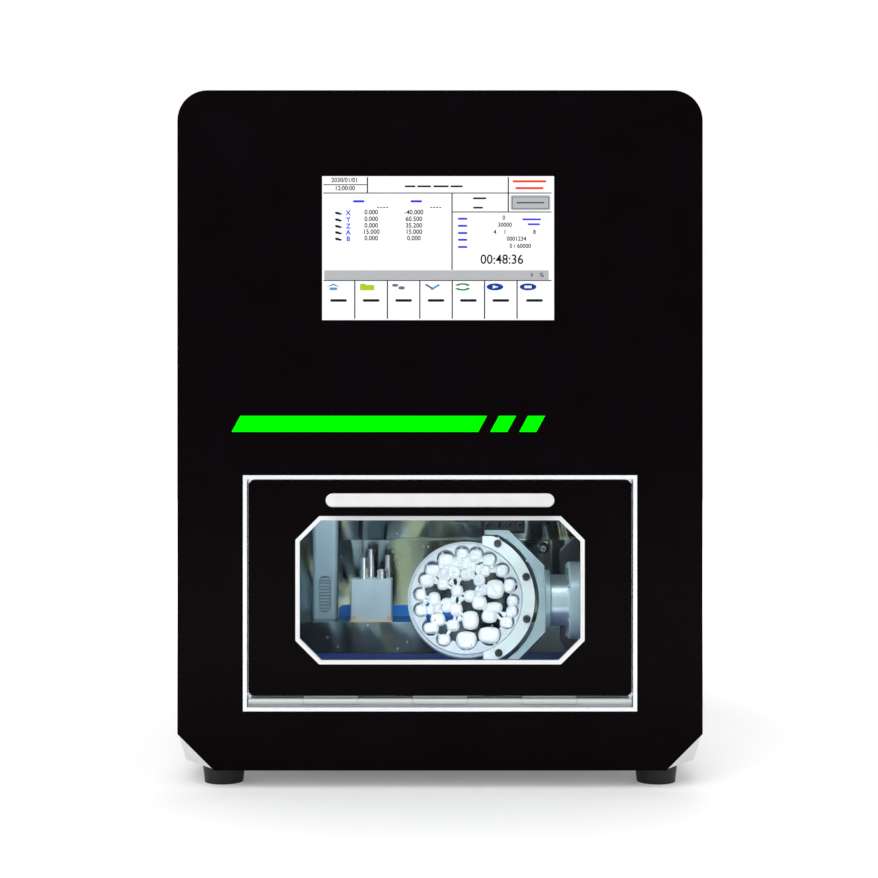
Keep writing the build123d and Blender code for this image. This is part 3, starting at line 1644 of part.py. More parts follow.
# Rear sockets: the power inlet with its three blades, the switch housing, two data sockets and
# a brass push-in fitting for the compressed air tube
plug_width = 24.0
plug_height = 16.0
plug_depth = 16.0
plug_blade = (2.0, 5.0)
plug_blade_length = 12.0
plug_blade_places = [(-7.0, -2.0), (0.0, 2.0), (7.0, -2.0)]
inlet_corner = 5.0
switch_corner = 2.0
rocker_slack = 1.6
switch_proud = 2.0
switch_face = rear_face + switch_proud
pocket_depth = 13.0
lan_hollow = (12.0, 8.5)
usb_hollow = (11.0, 3.6)
socket_floor = 6.0
socket_proud = 0.8
air_depth = 14.0
with BuildPart() as rear_sockets:
    inner = rear_face - inlet_body
    with BuildSketch(front_plane(inner)):
        with Locations((inlet_x, socket_z)):
            Rectangle(*inlet_hole)
    extrude(amount=-inlet_body)
    with BuildSketch(front_plane(rear_face)):
        with Locations((inlet_x, socket_z)):
            RectangleRounded(inlet_width, inlet_height, inlet_corner)
    extrude(amount=-inlet_flange)
    with BuildSketch(front_plane(rear_face + inlet_flange - plug_depth)):
        with Locations((inlet_x, socket_z)):
            Rectangle(plug_width, plug_height)
    extrude(amount=-plug_depth, mode=Mode.SUBTRACT)
    with BuildSketch(front_plane(rear_face + inlet_flange - plug_depth)):
        for across, up in plug_blade_places:
            with Locations((inlet_x + across, socket_z + up)):
                Rectangle(*plug_blade)
    extrude(amount=-plug_blade_length)
    with BuildSketch(front_plane(inner)):
        with Locations((inlet_x, switch_z)):
            Rectangle(*switch_hole)
    extrude(amount=-inlet_body)
    with BuildSketch(front_plane(rear_face)):
        with Locations((inlet_x, switch_z)):
            RectangleRounded(switch_width, switch_height, switch_corner)
    extrude(amount=-switch_proud)
    with BuildSketch(front_plane(switch_face - pocket_depth)):
        with Locations((inlet_x, switch_z)):
            Rectangle(rocker_width + 2 * apart, rocker_height + rocker_slack)
    extrude(amount=-pocket_depth, mode=Mode.SUBTRACT)
    for up, size, hollow in (
        (0, lan_size, lan_hollow),
        (data_pitch, usb_size, usb_hollow),
    ):
        with BuildSketch(front_plane(inner)):
            with Locations((data_x, socket_z + up)):
                Rectangle(*size)
        extrude(amount=-(inlet_body + socket_proud))
        with BuildSketch(front_plane(inner + socket_floor)):
            with Locations((data_x, socket_z + up)):
                Rectangle(*hollow)
        extrude(amount=-inlet_body, mode=Mode.SUBTRACT)
    with BuildSketch(Plane.YZ.offset(air_x)):
        with BuildLine():
            mouth = rear_face + air_reach
            tube = air_tube_radius + running
            Polyline(
                (panel_front - air_inside, socket_z),
                (panel_front - air_inside, socket_z + air_stub_radius),
                (rear_face, socket_z + air_stub_radius),
                (rear_face, socket_z + air_body_radius),
                (mouth - air_cap_length - air_cap_chamfer, socket_z + air_body_radius),
                (mouth - air_cap_length, socket_z + air_body_radius - air_cap_step),
                (mouth, socket_z + air_body_radius - air_cap_step),
                (mouth, socket_z + tube),
                (mouth - air_depth, socket_z + tube),
                (mouth - air_depth, socket_z),
                close=True,
            )
        make_face()
    revolve(axis=Axis((air_x, 0, socket_z), (0, 1, 0)))
rear_sockets.part.label = "rear_sockets"
export_step(rear_sockets.part, "parts/rear_sockets.step")

# Power rocker: a shallow V with a round hub on its pivot, at rest with its upper end pressed in
rocker_rise = 5.0
rocker_dip = 3.0
rocker_depth = 3.0
rocker_taper = 2.6
rocker_hub_radius = 3.6
rocker_y = switch_face - rocker_pivot_depth
rocker_lean = math.radians(rocker_swing)
rocker_plane = Plane(
    origin=(inlet_x - rocker_width / 2, rocker_y, switch_z),
    x_dir=(0, math.cos(rocker_lean), math.sin(rocker_lean)),
    z_dir=(1, 0, 0),
)
with BuildPart() as power_rocker:
    with BuildSketch(rocker_plane):
        with BuildLine():
            end = rocker_height / 2
            Polyline(
                (rocker_rise, end),
                (rocker_dip, 0),
                (rocker_rise, -end),
                (-rocker_depth, rocker_taper - end),
                (-rocker_depth, end - rocker_taper),
                close=True,
            )
        make_face()
        Circle(rocker_hub_radius)
    extrude(amount=rocker_width)
power_rocker.part.label = "power_rocker"
export_step(power_rocker.part, "parts/power_rocker.step")

# Electronics: the power supply on the tray floor and the finned controller on the rear panel
supply_y = 140.0
controller_x = -60.0
controller_z = 390.0
fin_count = 9
fin_height = 10.0
fin_thick = 2.5
fin_margin = 5.0
supply_chamfer = 1.5
with BuildPart() as electronics:
    with BuildSketch(Plane.XY.offset(frame_foot)):
        with Locations((0, supply_y)):
            Rectangle(supply_width, supply_length)
    extrude(amount=supply_height)
    chamfer(faces().sort_by(Axis.Z)[-1].edges(), length=supply_chamfer)
    base_y = panel_front - controller_depth + fin_height
    with BuildSketch(front_plane(base_y)):
        with Locations((controller_x, controller_z)):
            Rectangle(controller_width, controller_height)
    extrude(amount=-(controller_depth - fin_height))
    with BuildSketch(front_plane(base_y - fin_height)):
        with Locations((controller_x, controller_z)):
            with GridLocations(controller_width / fin_count, 0, fin_count, 1):
                Rectangle(fin_thick, controller_height - 2 * fin_margin)
    extrude(amount=-fin_height)
electronics.part.label = "electronics"
export_step(electronics.part, "parts/electronics.step")
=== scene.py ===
import math
import random
from itertools import combinations

import bmesh
import bpy
from mathutils import Matrix, Vector


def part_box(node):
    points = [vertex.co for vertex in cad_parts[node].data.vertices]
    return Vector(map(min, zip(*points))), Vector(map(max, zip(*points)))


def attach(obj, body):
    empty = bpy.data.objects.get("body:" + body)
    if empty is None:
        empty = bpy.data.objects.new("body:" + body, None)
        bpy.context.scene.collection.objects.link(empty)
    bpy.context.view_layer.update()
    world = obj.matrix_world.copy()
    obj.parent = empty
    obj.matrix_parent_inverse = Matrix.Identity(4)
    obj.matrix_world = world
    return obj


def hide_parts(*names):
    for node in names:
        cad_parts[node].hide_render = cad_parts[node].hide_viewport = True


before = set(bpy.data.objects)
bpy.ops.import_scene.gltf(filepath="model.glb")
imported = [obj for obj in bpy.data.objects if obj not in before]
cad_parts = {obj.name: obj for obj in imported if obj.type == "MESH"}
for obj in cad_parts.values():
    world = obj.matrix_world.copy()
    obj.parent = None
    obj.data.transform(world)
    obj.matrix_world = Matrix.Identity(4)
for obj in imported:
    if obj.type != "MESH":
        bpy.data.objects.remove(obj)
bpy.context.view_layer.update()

# The photograph was taken straight from the front, at half the machine's height and about
# 1.3 m before the black plate.
camera_place = (-0.0008, -1.55, 0.2738)
camera_lens = 68.3


def add_object(name, data):
    """Puts a mesh, a lamp, a curve or a camera in the scene"""
    made = bpy.data.objects.new(name, data)
    bpy.context.scene.collection.objects.link(made)
    return made


camera_data = bpy.data.cameras.new("camera")
camera_data.lens = camera_lens
camera_data.sensor_width = 36.0
camera_data.clip_start = 0.05
camera_data.clip_end = 30.0
camera = add_object("camera", camera_data)
camera.location = camera_place
camera.rotation_euler = (math.radians(90), 0, 0)
bpy.context.scene.camera = camera
bpy.context.scene.view_settings.view_transform = "Standard"

# The base tray is a folded steel box in white powder coat, with its lower front corners cut,
# on four tapered rubber feet that are bolted on from below.


def srgb(red, green, blue):
    """A colour written in the photograph's 0 to 255 values, as the shader wants it"""
    linear = []
    for share in (red / 255, green / 255, blue / 255):
        linear.append(share / 12.92 if share < 0.04045 else ((share + 0.055) / 1.055) ** 2.4)
    return (*linear, 1.0)


def feed(node, sockets):
    """Links signals to a node's sockets and sets the plain values on them"""
    for name, value in sockets.items():
        if isinstance(value, Signal):
            value.tree.links.new(value.socket, node.inputs[name])
        else:
            node.inputs[name].default_value = value


class Signal:
    """One socket of a finish. Sums and products of signals and numbers add their Math nodes."""

    def __init__(self, tree, socket):
        self.tree = tree
        self.socket = socket

    def node(self, kind, settings, sockets, output=0):
        """Any node: its settings first, then the values or links of its sockets"""
        made = self.tree.nodes.new(kind)
        for name, value in settings.items():
            setattr(made, name, value)
        feed(made, sockets)
        return Signal(self.tree, made.outputs[output])

    def maths(self, operation, first, second):
        return self.node("ShaderNodeMath", {"operation": operation}, {0: first, 1: second})

    def __add__(self, other):
        return self.maths("ADD", self, other)

    __radd__ = __add__

    def __mul__(self, other):
        return self.maths("MULTIPLY", self, other)

    __rmul__ = __mul__

    def __sub__(self, other):
        return self.maths("SUBTRACT", self, other)

    def __rsub__(self, other):
        return self.maths("SUBTRACT", other, self)

    def axis(self, number):
        """One of the three coordinates of a place"""
        return self.node("ShaderNodeSeparateXYZ", {}, {0: self}, number)

    def over(self, level):
        """1 where the signal is over the level, else 0"""
        return self.maths("GREATER_THAN", self, level)

    def clamped(self, low, high):
        """The signal stretched so that low becomes 0 and high becomes 1"""
        return self.node("ShaderNodeMapRange", {}, {0: self, 1: low, 2: high})

    def noise(self, scale, detail=2.0, stretch=(1, 1, 1), warp=0.0):
        """Clouds on the piece's own coordinates, drawn out along an axis where it is asked for"""
        mapped = self.node("ShaderNodeMapping", {}, {"Vector": self, "Scale": stretch})
        values = {"Vector": mapped, "Scale": scale, "Detail": detail, "Distortion": warp}
        return self.node("ShaderNodeTexNoise", {}, values)

    def relief(self, strength, depth):
        """Hills of the given depth where the signal is high, for a shader's Normal"""
        values = {"Strength": strength, "Distance": depth, "Height": self}
        return self.node("ShaderNodeBump", {}, values)

    def mix(self, low, high):
        """The colour that goes from low to high as the signal goes from 0 to 1"""
        return self.node("ShaderNodeMix", {"data_type": "RGBA"}, {0: self, 6: low, 7: high}, 2)


def start_finish(name):
    """An empty material, the signal of its object coordinates and its shader"""
    material = bpy.data.materials.new(name)
    material.use_nodes = True
    tree = material.node_tree
    place = tree.nodes.new("ShaderNodeTexCoord")
    return material, Signal(tree, place.outputs["Object"]), tree.nodes["Principled BSDF"]


def dress(finish, nodes):
    """The CAD nodes named keep their meshes and take a finish"""
    for node in nodes.split():
        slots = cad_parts[node].data.materials
        slots.clear()
        slots.append(finish)


def coated(
    name, nodes, colour, shade, roughness, grain, depth, metallic=0.0, stretch=(1, 1, 1), **fixed
):
    """Paint, plastic or plain metal on the nodes named: cloudy colour, uneven gloss and a fine
    grain in relief. The grain is repeats in a metre and its depth is in millimetres."""
    cloud_share = 0.08
    gloss_swing = 0.12
    material, place, shader = start_finish(name)
    clouds = place.noise(grain * cloud_share, 3.0, stretch)
    fine = place.noise(grain, 4.0, stretch)
    feed(shader, {
        "Base Color": clouds.clamped(0.3, 0.7).mix(srgb(*shade), srgb(*colour)),
        "Roughness": fine * gloss_swing + (roughness - gloss_swing / 2),
        "Metallic": metallic,
        "Normal": fine.relief(0.25, depth / 1000),
    })
    feed(shader, {key.replace("_", " "): value for key, value in fixed.items()})
    dress(material, nodes)
    return material


cover_white = coated(
    "powder_coat_white", "base_tray", (233, 234, 236), (230, 231, 234), 0.42, 900, 0.12, IOR=1.45
)
coated("foot_rubber", "rubber_feet", (24, 22, 24), (15, 14, 15), 0.55, 1400, 0.2, IOR=1.4)
zinc = coated(
    "zinc_plate", "foot_bolts", (196, 198, 202), (170, 172, 178), 0.3, 700, 0.05, metallic=1.0
)

# The outer cover is one sheet bent over the sides and the top, powder coated white. It is held
# from below by three screws along each side of the tray.
dress(cover_white, "outer_cover")
screw_radius = 0.0034
screw_height = 0.0009


def turned(profile, steps=32):
    """A bmesh of a turned piece: points of radius and height, spun about Z and closed"""
    mesh = bmesh.new()
    points = [mesh.verts.new((radius, 0, height)) for radius, height in profile]
    lines = [mesh.edges.new(pair) for pair in zip(points, points[1:])]
    bmesh.ops.spin(
        mesh, geom=points + lines, cent=(0, 0, 0), axis=(0, 0, 1), angle=2 * math.pi, steps=steps,
        use_merge=True, use_duplicate=False
    )
    bmesh.ops.remove_doubles(mesh, verts=mesh.verts, dist=1e-7)
    bmesh.ops.recalc_face_normals(mesh, faces=mesh.faces)
    return mesh


def add_copies(mesh, part, matrices):
    """Adds a finished part to a mesh at each of the places given, and lets go of the part"""
    data = bpy.data.meshes.new("part")
    for matrix in matrices:
        part.to_mesh(data)
        data.transform(matrix)
        mesh.from_mesh(data)
    bpy.data.meshes.remove(data)
    part.free()


def facing(spot, outward):
    """The matrix that takes a part made along Z to a spot, with its Z outward"""
    turn = Vector((0, 0, 1)).rotation_difference(Vector(outward))
    return Matrix.Translation(spot) @ turn.to_matrix().to_4x4()


def add_facing(mesh, part, spots, outward):
    """Adds a part made along Z at each of the spots, with its Z outward"""
    add_copies(mesh, part, [facing(spot, outward) for spot in spots])


def screw_head(radius, height):
    """A low head with a round rim and a hexagon socket, sunk a little into its face"""
    socket = radius * 0.55
    profile = [(0, -height * 0.2), (radius, -height * 0.2), (radius, height * 0.6)]
    profile += [(radius * 0.82, height), (socket, height), (socket, height * 0.2)]
    head = turned(profile + [(0, height * 0.1)], 24)
    for vert in head.verts:
        if abs(vert.co.xy.length - socket) < radius * 0.02:
            turn = math.atan2(vert.co.y, vert.co.x) % (math.pi / 3) - math.pi / 6
            vert.co.xy *= math.cos(math.pi / 6) / math.cos(turn)
    return head


def add_mesh(name, mesh, finish):
    """Puts a bmesh in the scene as an object with its finish"""
    data = bpy.data.meshes.new(name)
    mesh.to_mesh(data)
    mesh.free()
    data.materials.append(finish)
    return add_object(name, data)


def stand(name, mesh, finish, body, slot_name, *nodes):
    """Adds a bmesh, rides it on its body and lets it stand for the nodes named"""
    made = add_mesh(name, mesh, finish)
    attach(made, body)
    if nodes:
        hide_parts(*nodes)
    return made


cover_screw_side = 0.168
cover_screw_rows = (-0.12, 0.0, 0.12)
tray_underside = 0.015
mesh = bmesh.new()
columns = (-cover_screw_side, cover_screw_side)
spots = [(x, y, tray_underside) for x in columns for y in cover_screw_rows]
add_facing(mesh, screw_head(screw_radius, screw_height), spots, (0, 0, -1))
stand("cover_screws", mesh, zinc, "cabinet", "ground_steel")

# The front plate is a 4 mm sheet of black lacquered plastic, with round top corners and cut
# lower ones. Three slanted bars of green film are stuck on it. The film is given a faint glow:
# painted light.
coated("black_lacquer", "front_fascia", (7, 2, 5), (5, 1, 3), 0.16, 420, 0.02, IOR=1.1)
# The green film glows though it is no lamp: painted light
coated(
    "green_film", "accent_stripes", (0, 250, 0), (0, 240, 0), 0.4, 800, 0.02, IOR=1.02,
    Emission_Color=srgb(0, 255, 0), Emission_Strength=0.45
)

# The screen is a lit panel behind a pane that is let into the plate. Its picture is plain: a
# table of axis positions, a clock, a bar and seven buttons with an icon and a dash each.
point = 0.00078
screen_left = -0.0920
screen_top = 0.4790
screen_front = -0.2500
pane_back = -0.2484
picture_front = -0.2474
mark_rise = 0.00004
screen_width = 0.181
screen_height = 0.1124
pane_edge = 0.0003
rule_half = 0.62


def glowing(name, colour, strength=1.0):
    """A lit area of the screen: its colour comes from behind, with a faint grid of dots"""
    material, place, shader = start_finish(name)
    rows = place.noise(2600.0, 0.0)
    lit = srgb(*colour)
    dim = (*(value * 0.94 for value in lit[:3]), 1.0)
    feed(shader, {
        "Base Color": (0.0, 0.0, 0.0, 1.0),
        "Emission Color": rows.clamped(0.2, 0.5).mix(dim, lit),
        "Emission Strength": strength,
        "Roughness": rows * 0.1 + 0.5,
        "IOR": 1.05,
    })
    return material


def clear_pane(name, tint, index, dust):
    """Clear glass or acrylic, with a trace of dust in its gloss"""
    material, place, shader = start_finish(name)
    smear = place.noise(60.0, 4.0)
    feed(shader, {
        "Base Color": smear.clamped(0.35, 0.75).mix(tint, (1.0, 1.0, 1.0, 1.0)),
        "Roughness": smear.clamped(0.55, 0.85) * dust,
        "IOR": index,
        "Transmission Weight": 1.0,
    })
    return material


def on_screen(column, row, level=0.0):
    """A point of the picture, from its column and row of points counted from the upper left"""
    return Vector((screen_left + column * point, picture_front - level, screen_top - row * point))


def patch(mesh, outline, layer=1):
    """A thin flat mark on the picture with the outline given in columns and rows"""
    base = [mesh.verts.new(on_screen(c, r, (layer - 1) * mark_rise)) for c, r in outline]
    face = mesh.faces.new(base)
    raised = bmesh.ops.extrude_face_region(mesh, geom=[face], use_keep_orig=True)
    top = [vert for vert in raised["geom"] if isinstance(vert, bmesh.types.BMVert)]
    bmesh.ops.translate(mesh, vec=(0, -mark_rise, 0), verts=top)


def bar(mesh, left, top, right, bottom, layer=1):
    patch(mesh, [(left, top), (right, top), (right, bottom), (left, bottom)], layer)


def rule(mesh, column, top, bottom):
    """An upright line of the page"""
    bar(mesh, column - rule_half, top, column + rule_half, bottom)


def oval(mesh, column, row, half_width, half_height, layer=1, sides=28):
    outline = []
    for number in range(sides):
        turn = 2 * math.pi * number / sides
        outline.append((column + half_width * math.cos(turn), row + half_height * math.sin(turn)))
    patch(mesh, outline, layer)


def dash(mesh, column, row, half_width, half_height=0.9, layer=1):
    """A short round-ended stroke where a screen of this kind has a word"""
    ends = []
    for side in (1, -1):
        for number in range(7):
            turn = math.pi * (number / 6 - 0.5)
            across = side * (half_width - half_height + half_height * math.cos(turn))
            ends.append((column + across, row + side * half_height * math.sin(turn)))
    patch(mesh, ends, layer)


def rotation(degrees, axis):
    """The matrix of a turn about one of the axes"""
    return Matrix.Rotation(math.radians(degrees), 4, axis)


def figures(mesh, text, column, row, height, squeeze=0.94, bold=0.0001):
    """Plain figures as a thin mesh, centred on a point of the picture"""
    curve = bpy.data.curves.new("figures", "FONT")
    curve.body = text
    curve.size = height * point / 0.7
    curve.extrude = mark_rise / 2
    curve.offset = bold
    curve.resolution_u = 3
    curve.align_x = "CENTER"
    curve.align_y = "CENTER"
    holder = add_object("figures", curve)
    bpy.context.view_layer.update()
    data = bpy.data.meshes.new_from_object(holder)
    bpy.data.objects.remove(holder)
    place = Matrix.Translation(on_screen(column, row, mark_rise / 2))
    data.transform(place @ rotation(90, "X") @ Matrix.Diagonal((squeeze, 1, 1, 1)))
    mesh.from_mesh(data)
    bpy.data.meshes.remove(data)


def marks(name, colour, *shapes):
    """Lit marks of one colour, each written as its function and the values for it"""
    mesh = bmesh.new()
    for shape, *values in shapes:
        shape(mesh, *values)
    bmesh.ops.remove_doubles(mesh, verts=mesh.verts, dist=1e-7)
    bmesh.ops.recalc_face_normals(mesh, faces=mesh.faces)
    stand(name, mesh, glowing(name + "_light", colour), "cabinet", "screen")


def round_edges(mesh, edges, offset, segments):
    """Takes the sharpness off edges: cut flat by one segment, or rounded by more"""
    bmesh.ops.bevel(
        mesh, geom=edges, offset=offset, affect="EDGES", segments=segments, profile=0.5,
        material=-1
    )


def block(mesh, low, high, round_off=0.0, segments=2):
    """Adds a box between two corners, with all its edges rounded where that is asked for"""
    centre = [(a + b) / 2 for a, b in zip(low, high)]
    size = [b - a for a, b in zip(low, high)]
    made = bmesh.ops.create_cube(mesh, size=1.0)
    bmesh.ops.scale(mesh, vec=size, verts=made["verts"])
    bmesh.ops.translate(mesh, vec=centre, verts=made["verts"])
    if round_off:
        edges = list({edge for vert in made["verts"] for edge in vert.link_edges})
        round_edges(mesh, edges, round_off, segments)


mesh = bmesh.new()
screen_right = screen_left + screen_width
screen_foot = screen_top - screen_height
low = (screen_left, screen_front, screen_foot)
block(mesh, low, (screen_right, pane_back, screen_top), pane_edge, 1)
screen_glass = clear_pane("screen_glass", (0.97, 0.98, 1.0, 1.0), 1.08, 0.04)
stand("screen_pane", mesh, screen_glass, "cabinet", "screen", "display_glass")

mesh = bmesh.new()
page_back = picture_front + 0.0003
low = (screen_left, picture_front, screen_foot)
block(mesh, low, (screen_right, page_back, screen_top))
page_white = glowing("screen_white", (255, 255, 255), 1.06)
stand("screen_page", mesh, page_white, "cabinet", "screen")

button_dividers = (32.5, 65.2, 97.7, 130.2, 162.6, 195.2)
marks(
    "screen_rules", (50, 52, 55), (bar, 1, 16.0, 229.7, 17.0), (bar, 1, 7.7, 45, 8.6),
    (rule, 45.2, 0.5, 16.5), (rule, 186.4, 0.5, 35.4), (rule, 130.0, 16.5, 93.6),
    (bar, 130, 35.0, 229.7, 36.0), (bar, 1, 103.7, 229.7, 104.7),
    *[(rule, column, 104, 142.6) for column in button_dividers]
)
marks(
    "screen_greys", (190, 191, 193), (bar, 2, 94, 226.9, 103.6),
    *[(oval, column, row, 1.7, 1.7) for row in (20.4, 32.0) for column in (190.4, 226.9)],
    (bar, 190.4, 18.7, 226.9, 33.7), (bar, 188.7, 20.4, 190.4, 32.0),
    (bar, 226.9, 20.4, 228.6, 32.0)
)
marks(
    "screen_button_edge", (96, 98, 102), (bar, 190.2, 20.2, 227.1, 20.8, 2),
    (bar, 190.2, 31.6, 227.1, 32.2, 2), (bar, 190.2, 20.2, 190.8, 32.2, 2),
    (bar, 226.5, 20.2, 227.1, 32.2, 2), (dash, 208.6, 26.2, 14.0, 0.8, 2)
)

axis_rows = (37.0, 43.7, 50.3, 56.6, 63.0)
readings = ("0.000", "0.000", "0.000", "15.000", "0.000")
far_readings = ("-40.000", "60.500", "35.200", "15.000", "0.000")
table = []
for row, reading, far_reading in zip(axis_rows, readings, far_readings):
    table += [
        (figures, reading, 49.0, row - 1.1, 4.6), (figures, far_reading, 91.8, row - 1.1, 4.6),
        (patch, [(12.2, row - 1.4), (15.0, row - 1.8), (20.2, row + 0.4), (17.4, row + 1.6)]),
        (patch, [(12.6, row - 1.2), (14.4, row - 1.2), (15.6, row + 1.0), (13.4, row + 0.6)])
    ]
for text, column, row in (
    ("0", 182.0, 42.3), ("30000", 183.0, 49.4), ("4", 173.0, 56.6), ("1", 183.0, 56.6),
    ("8", 212.6, 56.6), ("0001234", 194.6, 63.4), ("0 / 60000", 198.4, 70.6)
):
    table.append((figures, text, column, row - 0.9, 4.2))
for column in (56.0, 59.0, 62.0, 65.0, 109.2, 112.2, 115.2, 118.2):
    table.append((dash, column, 31.0, 1.1, 0.5))
for left, right in zip((0.0,) + button_dividers, button_dividers + (230.0,)):
    table.append((dash, (left + right) / 2, 124.2, 8.4, 1.3))
marks(
    "screen_figures", (26, 28, 32), *table, (figures, "2030/01/01", 22.4, 3.6, 4.4),
    (figures, "12:00:00", 22.6, 11.8, 4.4), (figures, "00:48:36", 180.0, 83.4, 9.4, 0.94, 0.00012),
    (dash, 88.0, 9.8, 5.5), (dash, 102.0, 9.8, 7.0), (dash, 119.0, 9.8, 7.8),
    (dash, 134.6, 9.8, 6.2), (dash, 157.6, 21.8, 6.8), (dash, 156.0, 31.2, 5.0),
    (figures, "0", 210.0, 98.8, 3.6), (figures, "%", 220.0, 98.8, 4.4)
)
axis_names = []
for letter, row in zip("XYZAB", axis_rows):
    axis_names.append((figures, letter, 26.0, row - 0.4, 4.8, 0.98, 0.00014))
marks(
    "screen_blues", (58, 60, 226), *axis_names, (dash, 36.4, 24.8, 5.8, 1.1),
    (dash, 94.2, 24.8, 5.8, 1.1),
    *[(dash, 140.6, row, 4.8, 1.0) for row in (42.3, 49.4, 56.6, 63.4, 70.6)],
    (dash, 209.8, 42.9, 9.4), (dash, 212.0, 47.8, 6.2)
)
marks("screen_reds", (255, 70, 50), (dash, 207.6, 4.8, 17.0, 1.1), (dash, 207.6, 11.6, 14.2, 1.1))

icon_row = 110.6


def icon(*outline, layer=1):
    """One flat area of a button's icon, with its rows counted from the icons' middle"""
    return patch, [(column, icon_row + row) for column, row in outline], layer


icon_ovals = [(oval, column, icon_row, 8.4, 3.5) for column in (173.0, 206.2)]
marks("screen_ovals", (24, 62, 160), *icon_ovals)
marks(
    "screen_icon_whites", (250, 252, 255),
    icon((170.8, -1.7), (176.8, 0.0), (170.8, 1.7), layer=2),
    (bar, 202.6, icon_row - 1.3, 209.8, icon_row + 1.3, 2)
)
marks(
    "screen_icon_blues", (84, 160, 214), icon((3.4, 0.4), (11.0, -3.4), (11.0, -1.6)),
    icon((11.0, -3.4), (18.6, 0.4), (11.0, -1.6)),
    (bar, 7.2, icon_row + 0.6, 14.8, icon_row + 3.2),
    icon((108.2, 2.0), (116.6, -3.0), (117.8, -1.4), (109.6, 3.2))
)
marks(
    "screen_icon_greens", (176, 212, 38), (bar, 37.8, icon_row - 2.0, 52.0, icon_row + 3.4),
    (bar, 37.8, icon_row - 3.2, 43.4, icon_row - 2.0)
)
loop_width = 8.4
loop_height = 3.7
loop_sides = 20
loop_inner = 0.6
loop_column = 140.6
loops = []
for start, stop in ((0.4, 2.7), (3.6, 5.85)):
    turns = [start + (stop - start) * number / loop_sides for number in range(loop_sides + 1)]
    outline = []
    for share, way in ((1.0, turns), (loop_inner, turns[::-1])):
        for turn in way:
            column = loop_column + share * loop_width * math.cos(turn)
            outline.append((column, share * loop_height * math.sin(turn)))
    loops.append(icon(*outline))
marks("screen_icon_loops", (30, 138, 42), *loops)
marks(
    "screen_icon_greys", (112, 118, 126), (oval, 73.0, icon_row - 1.6, 3.2, 1.5),
    (oval, 79.4, icon_row + 1.0, 3.4, 1.7),
    icon((102.4, -2.0), (104.4, -3.0), (112.6, 1.8), (110.8, 3.0))
)

coated("module_black", "display_module", (30, 31, 34), (22, 23, 26), 0.5, 900, 0.1, IOR=1.45)

# A bright anodised surround frames the door opening, with the fixed knuckles and the pin of
# the hinge along its lower bar and a magnet in its upper lip.
coated(
    "satin_aluminium", "door_surround", (224, 227, 230), (213, 216, 220), 0.26, 1200, 0.03,
    metallic=1.0, stretch=(0.05, 1, 1)
)
hinge_metal = coated(
    "hinge_metal", "hinge_rail", (204, 211, 210), (194, 201, 201), 0.46, 1000, 0.04, metallic=0.25,
    stretch=(0.05, 1, 1)
)
coated("magnet_black", "magnetic_catch", (38, 38, 42), (28, 28, 31), 0.5, 900, 0.1, IOR=1.45)

# The door is a black lacquered plate that drops down on its hinge. It holds a clear pane in a
# pale eight-sided trim, a white pill-shaped handle, a rubber seal and a steel catch plate.
coated("door_lacquer", "door_panel", (7, 2, 5), (5, 1, 3), 0.14, 420, 0.02, IOR=1.1)
coated("trim_white", "window_trim", (250, 251, 252), (244, 246, 248), 0.32, 800, 0.04, IOR=1.4)
coated("handle_white", "door_handle", (240, 241, 239), (232, 234, 232), 0.3, 700, 0.04, IOR=1.45)
coated("seal_rubber", "door_seal", (22, 22, 24), (14, 14, 16), 0.62, 1500, 0.2, IOR=1.4)
door_glass = clear_pane("door_glass", (0.93, 0.98, 0.99, 1.0), 1.1, 0.03)
dress(door_glass, "window_pane")
dress(hinge_metal, "door_hinge_leaf")
dress(zinc, "latch_plate")

# The milling chamber is folded from polished stainless steel: a trough, a rear wall with a
# ledge and a step, and a roof with the spindle's slot. The sheets mirror each other in waves,
# so their relief is long and shallow. Their colour drifts from grey-green to olive in waves:
# a painted reflection.
# Painted reflection colours of the steel and the tray, and painted light for the left wall
steel_pale_reflection = srgb(134, 152, 156)
steel_dark_reflection = srgb(42, 58, 65)
steel_olive_reflection = srgb(122, 132, 108)
steel_painted_tray_reflection = srgb(24, 34, 42)
painted_side_light = srgb(156, 196, 218)


def wavy_steel(
    name, low, high, streak, streak_share, wave_scale, wave_height, stretch, side=1.0, foot=-1.0
):
    """Polished sheet that isn't quite flat. Its colour drifts from low to high in waves, with
    streaks of a warmer tone, as a painted reflection. Left of side it is rougher and less
    metallic, and its colour is paled to a light blue as painted light. Below foot its colour
    is darkened as a painted reflection of the dark tray."""
    material, place, shader = start_finish(name)
    # Left of side: colour paled as painted light, rougher and less metallic steel
    painted_light_side = 1 - place.axis(0).over(-side)
    shaded = 1 - place.axis(2).over(foot)
    waves = place.noise(wave_scale, 2.0, stretch, 1.2)
    streaks = place.noise(wave_scale * 0.8, 3.0, stretch, 2.4)
    fine = place.noise(700.0, 3.0, (1, 1, 0.05))
    # The colour drifts in waves with warmer streaks: a painted reflection
    tone = waves.clamped(0.38, 0.62).mix(low, high)
    shade = (streaks.clamped(0.5, 0.62) * streak_share).mix(tone, streak)
    # Below foot the colour is darkened: a painted reflection of the dark tray
    shade = (shaded * 0.55).mix(shade, steel_painted_tray_reflection)
    feed(shader, {
        "Base Color": (painted_light_side * 0.7).mix(shade, painted_side_light),
        "Metallic": 1.0 - painted_light_side * 0.5,
        "Roughness": fine * 0.1 + 0.1 + painted_light_side * 0.15,
        "Normal": waves.relief(0.5, wave_height),
    })
    return material


# Below the ledge the rear wall's colour is darkened, a painted reflection of the tray
ledge_level = 0.1055
wall_steel = wavy_steel(
    "wall_steel", steel_dark_reflection, steel_pale_reflection, steel_olive_reflection, 0.85, 13.0, 0.01, (1.0, 1.0, 0.35),
    foot=ledge_level
)
